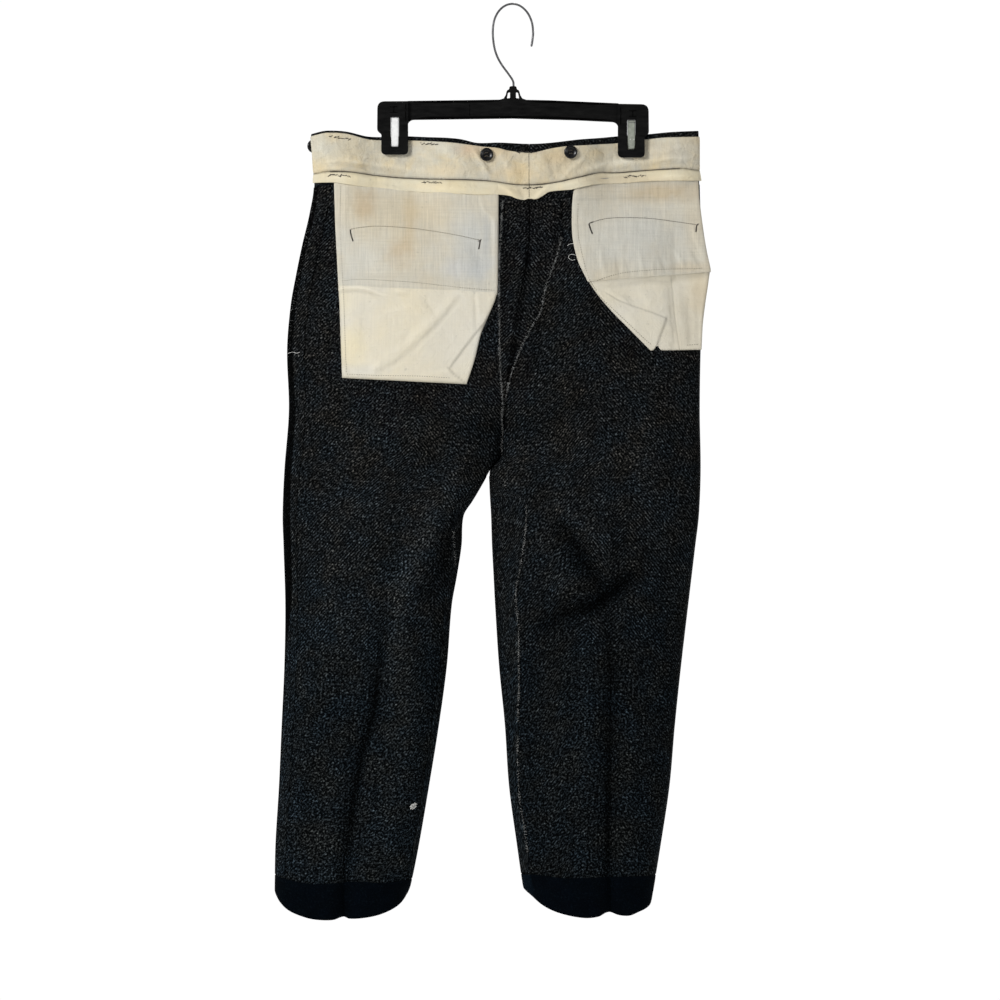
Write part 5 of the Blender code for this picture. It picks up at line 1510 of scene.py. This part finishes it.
def buttonMesh():
    made = bmesh.new()
    ring = [made.verts.new((max(share * button["diameter"] / 2, 0.0001 * mm), 0, height * mm))
        for share, height in button["profile"]]
    for first, second in zip(ring, ring[1:]):
        made.edges.new((first, second))
    bmesh.ops.spin(made, geom=list(made.verts) + list(made.edges), axis=(0, 0, 1), cent=(0, 0, 0),
        steps=button["sides"], angle=math.tau, use_merge=True)
    bmesh.ops.remove_doubles(made, verts=made.verts, dist=0.01 * mm)
    bmesh.ops.recalc_face_normals(made, faces=made.faces)
    blank = addObject("buttonBlank", asMesh(made, "braceButton"))
    drills = bmesh.new()
    for x in (-0.5, 0.5):
        for y in (-0.5, 0.5):
            made = bmesh.ops.create_cone(drills, cap_ends=True, segments=16, radius1=button["hole"] / 2,
                radius2=button["hole"] / 2, depth=2 * button["thickness"])
            bmesh.ops.translate(drills, verts=made["verts"],
                vec=(x * button["spacing"], y * button["spacing"], 0))
    cutAway(blank, addObject("buttonDrills", asMesh(drills, "buttonDrills")))
    result = blank.data
    bpy.data.objects.remove(blank)
    result.shade_smooth()
    result.set_sharp_from_angle(angle=math.radians(42))
    result.materials.clear()
    result.materials.append(makeButtonMaterial())
    return result


def pointOn(side, face, t, z):
    return Vector(placed(side, face, np.array([t]), np.array([z]))[0])


discMesh = buttonMesh()
buttonThreads = []
for label, (side, face, t, height, room) in buttonPlaces.items():
    z = height * mm
    here = pointOn(side, face, t, z)
    across = pointOn(side, face, t + 0.012, z) - pointOn(side, face, max(0, t - 0.012), z)
    down = pointOn(side, face, t, z - 4 * mm) - pointOn(side, face, t, z + 4 * mm)
    normal = across.cross(down).normalized()
    if (side == "left") != (face == "front"):
        normal = -normal
    made = addObject("button." + label, discMesh)
    made.rotation_mode = "QUATERNION"
    made.rotation_quaternion = normal.to_track_quat("Z", "Y")
    made.location = here + normal * (button["under"] + room * mm + button["thickness"] / 2)
    bpy.context.view_layer.update()
    belongs(made, "button", "brace_button_" + label)
    # Thread across the holes, and the wound shank under the button
    reach = button["spacing"] / 2
    top = button["thickness"] / 2 - 0.86 * mm
    threadLine = ((-1, -0.8, 1), (-0.8, 0.1, 1), (0, 0.22, 0.8), (0.8, 0.1, 1), (1, -0.8, 1))
    lines = [
        [(reach * x, sign * reach + beside * share * mm, top + rise * mm) for x, rise, share in threadLine]
        for sign in (-1, 1) for beside in (-0.25, 0.05, 0.3)]
    shank = [(1.5 * mm * math.cos(k * 0.9), 1.5 * mm * math.sin(k * 0.9),
        -button["thickness"] / 2 - (0.1 + 0.03 * k) * mm) for k in range(24)]
    for line, radius in [(line, 0.2 * mm) for line in lines] + [(shank, 0.22 * mm)]:
        buttonThreads.append(([tuple(made.matrix_world @ Vector(point)) for point in line], radius))
tubePiece("thread.buttons", buttonThreads, threads["darkThread"])
print("buttons made")

# The hanger
hanger = {
    "barHalfDepth": 4.0 * mm, "clipX": 133 * mm, "edge": 0.7 * mm,
    "jaw": 4.8 * mm, "slit": 3.45 * mm, "mouth": -140 * mm,
    # In mm: the bar's height, the neck's foot and half outline, and the web in the corner beside a clip
    "barHeight": 21.4, "neckFoot": -106.4,
    "neck": ((10.5, 1.2), (8.2, 5.0), (7.4, 8.6), (6.6, 10.2), (4.4, 11.6), (4.0, 14.0), (2.6, 15.0)),
    "neckWindow": ((3.4, 1.6), (6.9, 1.2), (5.6, 7.6), (3.4, 8.2)),
    "webX": 111.6, "web": 7,
}
# In mm: the clip's top, how much lower its corners lie, its bottom, and how far its inner corner stands up
clips = {
    "left": {"outward": -1, "top": -108.6, "drop": 0.0, "bottom": -168.5, "corner": 0.2,
        "mark": (393.7, 107)},
    "right": {"outward": 1, "top": -112.0, "drop": -3.2, "bottom": -171.8, "corner": 0.6,
        "mark": (632.6, 111)},
}


def plasticMaterial(name, low, high, specular):
    made, tree, shader = newMaterial(name, roughness=0.35, specular=specular)
    where = objectPlace(tree)
    streak = grainNoise(tree, stretched(tree, where, 60.0, 60.0, 420.0), 1.0, 4.0, 0.6, 0.3)
    tone = spread(tree, streak, 0.3, 0.72)
    feed(tree, shader.inputs["Base Color"], blend(tree, tone, low, high))
    fine = grainNoise(tree, where, 1900.0, 2.0, 0.6)
    scratches = spread(tree, grainNoise(tree, stretched(tree, where, 90.0, 300.0, 1500.0), 1.0, 3.0, 0.7),
        0.62, 0.75)
    feed(tree, shader.inputs["Roughness"], timesPlus(tree, scratches, 0.22,
            spread(tree, streak, 0.3, 0.7, 0.30, 0.44)))
    setBump(tree, shader, timesPlus(tree, fine, 0.5, scratches), 0.12, 0.2 * mm)
    return made


def steelMaterial(name, low, high, roughness, metallic=1.0):
    made, tree, shader = newMaterial(name, roughness=roughness[0], specular=0.5, Metallic=metallic)
    where = objectPlace(tree)
    drawn = grainNoise(tree, stretched(tree, where, 2400.0, 2400.0, 60.0), 1.0, 3.0, 0.6)
    dull = spread(tree, grainNoise(tree, where, 260.0, 4.0, 0.6), 0.35, 0.7)
    feed(tree, shader.inputs["Base Color"], blend(tree, dull, low, high))
    feed(tree, shader.inputs["Roughness"], spread(tree, drawn, 0.3, 0.7, *roughness))
    setBump(tree, shader, drawn, 0.06, 0.1 * mm)
    return made


plastic = plasticMaterial("hangerPlastic", (0.0018, 0.0018, 0.0019), (0.0062, 0.0062, 0.0060), 0.14)
# A darker, duller copy of the plastic: painted shade on the rims and the moulded marks
paintedShadePlastic = plasticMaterial("hangerPaintedShade", (0.0006, 0.0006, 0.0006), (0.0014, 0.0014, 0.0014), 0.03)
hookSteel = steelMaterial("hookSteel", (0.10, 0.10, 0.105), (0.20, 0.20, 0.205), (0.34, 0.5), metallic=0.7)
stripSteel = {
    # The left strip is a pale non-metal whose whiteness is a painted reflection of the bright surroundings
    "left": steelMaterial("springPaintedReflection", (0.80, 0.80, 0.79), (0.92, 0.92, 0.91), (0.35, 0.5),
        metallic=0.0),
    "right": steelMaterial("springGrey", (0.26, 0.28, 0.235), (0.40, 0.42, 0.36), (0.3, 0.5),
        metallic=0.25),
}


def rounded(corners, steps):  # a closed outline whose corners are turned with their own radius, in mm
    outline = []
    for k, (x, z, radius) in enumerate(corners):
        here = np.array((x, z), float)
        if radius <= 0:
            outline.append(here)
            continue
        ways = [np.array(corners[j % len(corners)][:2]) - here for j in (k - 1, k + 1)]
        lengths = [np.linalg.norm(way) for way in ways]
        before, after = (way / length for way, length in zip(ways, lengths))
        half = math.acos(max(-1, min(1, float(after @ before)))) / 2
        run = min(radius / math.tan(half), lengths[0] * 0.48, lengths[1] * 0.48)
        start = here + before * run
        end = here + after * run
        for s in np.arange(steps + 1) / steps:
            outline.append((1 - s) ** 2 * start + 2 * s * (1 - s) * here + s * s * end)
    return [(float(x) * mm, float(z) * mm) for x, z in outline]


def plate(name, outlines, halfDepth):
    curve = bpy.data.curves.new(name, "CURVE")
    curve.dimensions = "2D"
    curve.fill_mode = "BOTH"
    curve.extrude = halfDepth
    for outline in outlines:
        spline = curve.splines.new("POLY")
        spline.points.add(len(outline) - 1)
        for point, (x, z) in zip(spline.points, outline):
            point.co = (x, z, 0, 1)
        spline.use_cyclic_u = True
    flat = addObject(name + "Outline", curve)
    flat.rotation_euler = (math.pi / 2, 0, 0)
    mesh = resultOf(flat)
    mesh.transform(flat.matrix_world)
    bpy.data.objects.remove(flat)
    joined = bmesh.new()
    joined.from_mesh(mesh)
    bmesh.ops.remove_doubles(joined, verts=joined.verts, dist=0.01 * mm)
    bmesh.ops.dissolve_limit(joined, angle_limit=math.radians(1), verts=joined.verts, edges=joined.edges)
    bmesh.ops.recalc_face_normals(joined, faces=joined.faces)
    return addObject(name, asMesh(joined, name), plastic)


def soften(piece):
    modify(piece, "BEVEL", width=hanger["edge"], segments=3, limit_method="ANGLE",
        angle_limit=math.radians(40))


def barTopAt(x):  # the bar bows, and its right end hangs lower
    px = x / picture["mmPerPixel"] + picture["middleX"]
    return np.interp(px, (378, 440, 513, 560, 648), (101.6, 100.4, 99.6, 100.6, 104.8))


def barTop(x):
    return (picture["topY"] - float(barTopAt(x))) * picture["mmPerPixel"]


def barLine(xs, under=0.0):
    return [(x, barTop(x) - under, 0) for x in xs]


def barFillet(outward):  # the web in the corner under the bar, beside a clip
    points = []
    for angle in np.linspace(0, 1, 7) * (math.pi / 2):
        x = outward * (hanger["webX"] + hanger["web"] * math.sin(angle))
        points.append((x, barTop(x) - hanger["barHeight"] - hanger["web"] * (1 - math.cos(angle)), 0))
    return points


neck = [(x, hanger["neckFoot"] + z, 1.2) for x, z in hanger["neck"]]
barOutline = barFillet(-1)[::-1] + barLine(np.linspace(-105, 105, 7), hanger["barHeight"]) + barFillet(1)
barOutline += barLine(np.linspace(118.6, 15, 5)) + neck + [(-x, z, radius) for x, z, radius in neck[::-1]]
barOutline += barLine(np.linspace(-15, -118.6, 5))
windows = [
    [(outward * x, hanger["neckFoot"] + z, 0.6) for x, z in hanger["neckWindow"]] for outward in (-1, 1)]
outlines = [rounded(barOutline, 4)] + [rounded(window, 3) for window in windows]
bar = plate("hangerBar", outlines, hanger["barHalfDepth"])
soften(bar)
belongs(bar, "hanger_plastic", "hanger_bar")
# Raised rims along the bar's edges and a rib, so its face is sunk as moulded; they take a darker, duller
# copy of the plastic as painted shade
ribs = []
for sign in (-1, 1):
    front = sign * (hanger["barHalfDepth"] + 0.05 * mm)
    for under, start, end, count in ((1.7, -112, -15, 12), (1.7, 15, 112, 12), (19.6, -112, 112, 24)):
        xs = np.linspace(start, end, count)
        path = np.array([(x * mm, front, (barTop(x) - under) * mm) for x in xs])
        ends = np.minimum(np.arange(len(path)), np.arange(len(path))[::-1])
        ribs.append((path, 1.15 * mm * np.clip(ends * 0.5 + 0.15, 0, 1)))
    x, top = spot(469.7, 104)
    depth = front - sign * 0.15 * mm
    ribs.append(([(x, depth, top), (x, depth, top - 13 * mm)], 0.35 * mm))
tubePiece("hangerBar.ribs", ribs, paintedShadePlastic, sides=8, slot="hanger_plastic")

for side, shape in clips.items():
    outward = shape["outward"]
    drop = shape["drop"]
    top = shape["top"]
    corners = ((-15, top + shape["corner"], 0), (19.5, top, 8.5), (19.8, -141.5 + drop, 5),
        (15, -145.5 + drop, 4), (15.2, shape["bottom"], 5.5), (-15.2, shape["bottom"], 5.5),
        (-15, top - 27.5, 0), (-15, top - 22.6, 0))
    window = ((-4.6, -160.2 + drop * 0.9, 1.5), (4.6, -160.2 + drop * 0.9, 1.5), (4.6, -126.4 + drop, 0.8),
        (-4.6, -126.4 + drop, 0.8))
    outlines = [
        rounded([(outward * (133 + x), z, radius) for x, z, radius in line], 6)
        for line in (corners, window)]
    half = hanger["slit"] + hanger["jaw"]
    clip = plate(f"hangerClip.{side}", outlines, half)
    low = (outward * hanger["clipX"] - 30 * mm, -hanger["slit"], -190 * mm)
    high = (outward * hanger["clipX"] + 30 * mm, hanger["slit"], hanger["mouth"])
    mouth = bmesh.new()
    bmesh.ops.create_cube(mouth, size=1)
    for vertex in mouth.verts:
        vertex.co = [(low[k] + high[k]) / 2 + vertex.co[k] * (high[k] - low[k]) for k in range(3)]
    cutAway(clip, addObject("clipMouth", asMesh(mouth, "clipMouth")))
    soften(clip)
    belongs(clip, "hanger_plastic", f"hanger_clip_{side}")
    # The spring strip: narrow, bowed towards the front, with two painted highlights on the right one
    z = np.linspace(-126.8 + drop, -159.6 + drop * 0.9, 24)[:, None] * mm
    s = np.linspace(0, 1, 24)[:, None]
    taper = {"left": 0.06, "right": 0.24}[side]
    width = 4.3 * mm * (1 - taper * ease((s - 0.86) / 0.14)) * np.linspace(-1, 1, 9)[None]
    y = -half + 1.9 * mm - 0.7 * mm * np.sin(s * math.pi)
    mesh, quads = gridMesh(f"clipSpring.{side}",
        np.stack([outward * hanger["clipX"] + width, y + 0 * width, z + 0 * width], -1))
    strip = addObject(f"clipSpring.{side}", mesh, stripSteel[side])
    modify(strip, "SOLIDIFY", thickness=0.6 * mm, offset=0)
    belongs(strip, "spring_steel", f"clip_spring_{side}")
    # The two bright dots are painted highlights: white studs standing in for glints of light on the strip
    if side == "right":  # two bright dots and a dark bend near the top
        paintedGlints = []
        for x, z in spots((630.2, 139.6), (633.9, 139.6)):
            paintedGlints.append(([(x, -half + 1.5 * mm, z), (x, -half + 0.55 * mm, z)], 0.55 * mm))
        tubePiece("clipSpring.dots", paintedGlints, threads["whiteThread"], sides=10, slot="spring_steel")
        x, z = spot(632.4, 122.8)
        bend = [(x + reach * mm, -half + 1.35 * mm, z) for reach in (-4.1, 4.1)]
        tubePiece("clipSpring.bend", [(bend, 0.35 * mm)], hookSteel, sides=8, slot="spring_steel")
    # Moulded marks at the top of the clip: an upright with two cross bars, and a line, in the darker copy
    # of the plastic as painted shade
    marks = []
    px, py = shape["mark"]
    for line in (
            ((px - 3.6, py), (px + 3.6, py)), ((px - 3.6, py + 5.6), (px + 3.6, py + 5.6)),
            ((px, py), (px, py + 5.6)), ((px - outward * 12, py - 3), (px - outward * 12, py + 14))):
        marks.append(([(x, -half - 0.02 * mm, z) for x, z in spots(*line)], 0.5 * mm))
    tubePiece(f"hangerClip.marks.{side}", marks, paintedShadePlastic, sides=6, slot="hanger_plastic")

hookRoute = ((0.8, -92.6), (0.2, -86), (-6.5, -78), (-15.5, -69), (-22, -61), (-26.6, -52), (-29.3, -41),
    (-30, -29), (-27.8, -17.6), (-21.2, -7.6), (-11.2, -0.9), (0, 1.25), (11.2, -0.9), (21.2, -7.6),
    (27.8, -17.6), (30, -29), (29.2, -38), (27.5, -46))
turn = math.radians(41)
route = np.array([(u * math.cos(turn), u * math.sin(turn), z) for u, z in hookRoute]) * mm
place, heading = walk(route, 1.1 * mm)
place = np.concatenate([route[:1], place, route[-1:]])
radii = np.full(len(place), 1.25 * mm)
radii[-3:] = (1.2 * mm, 1.0 * mm, 0.6 * mm)
tubePiece("hangerHook", [(place, radii)], hookSteel, sides=20, slot="hook_steel", nodes=("hanger_hook",))
print("hanger made")

# The studio
studio = {"distance": 12.0, "lens": 384.0, "aimX": spot(500, 0)[0], "aimZ": spot(0, 500)[1], "floor": -1.25,
    "floorReach": 1.6}
floorMaterial, tree, shader = newMaterial("studioFloor", roughness=0.75, specular=0.2)
mottle = spread(tree, grainNoise(tree, objectPlace(tree), 3.0, 3.0, 0.5), 0.3, 0.7)
feed(tree, shader.inputs["Base Color"], blend(tree, mottle, (0.80, 0.80, 0.79), (0.84, 0.84, 0.83)))
floorMesh = bpy.data.meshes.new("floor")
corners = [(x * studio["floorReach"], y * studio["floorReach"], studio["floor"])
    for x, y in ((-1, -1), (1, -1), (1, 1), (-1, 1))]
floorMesh.from_pydata(corners, [], [(0, 1, 2, 3)])
addObject("floor", floorMesh, floorMaterial)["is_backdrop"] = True

world = bpy.data.worlds.new("studioWorld")
bpy.context.scene.world = world
world.use_nodes = True
tree = world.node_tree
background = tree.nodes["Background"]
facingY = addNode(tree, "SeparateXYZ",
    Vector=tree.nodes.new("ShaderNodeTexCoord").outputs["Generated"]).outputs["Y"]
level = spread(tree, facingY, -0.35, 0.5, 0.16, 1.0)
feed(tree, background.inputs["Color"], addNode(tree, "CombineColor", Red=level, Green=level,
        Blue=level).outputs[0])
background.inputs["Strength"].default_value = 1.02

for name, at, aim, size, energy in (
        ("key", (-2.0, -2.1, 1.0), (-0.02, 0, -0.5), 1.0, 84),
        ("fill", (2.2, -2.2, -0.2), (0, 0, -0.6), 1.6, 20),
        ("back", (0.6, 2.2, 0.8), (0, 0, -0.5), 1.4, 30)):
    light = bpy.data.lights.new(name, "AREA")
    light.size = size
    light.energy = energy
    lamp = addObject(name, light)
    lamp.location = at
    lamp.rotation_euler = (Vector(aim) - Vector(at)).to_track_quat("-Z", "Y").to_euler()

camera = addObject("camera", bpy.data.cameras.new("camera"))
camera.data.lens = studio["lens"]
camera.data.sensor_width = 36
camera.data.clip_end = 40
camera.location = (studio["aimX"], -studio["distance"], studio["aimZ"])
camera.rotation_euler = (math.pi / 2, 0, 0)
bpy.context.scene.camera = camera
bpy.context.scene.view_settings.view_transform = "Standard"
print("studio made")

bpy.context.view_layer.update()
low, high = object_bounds()
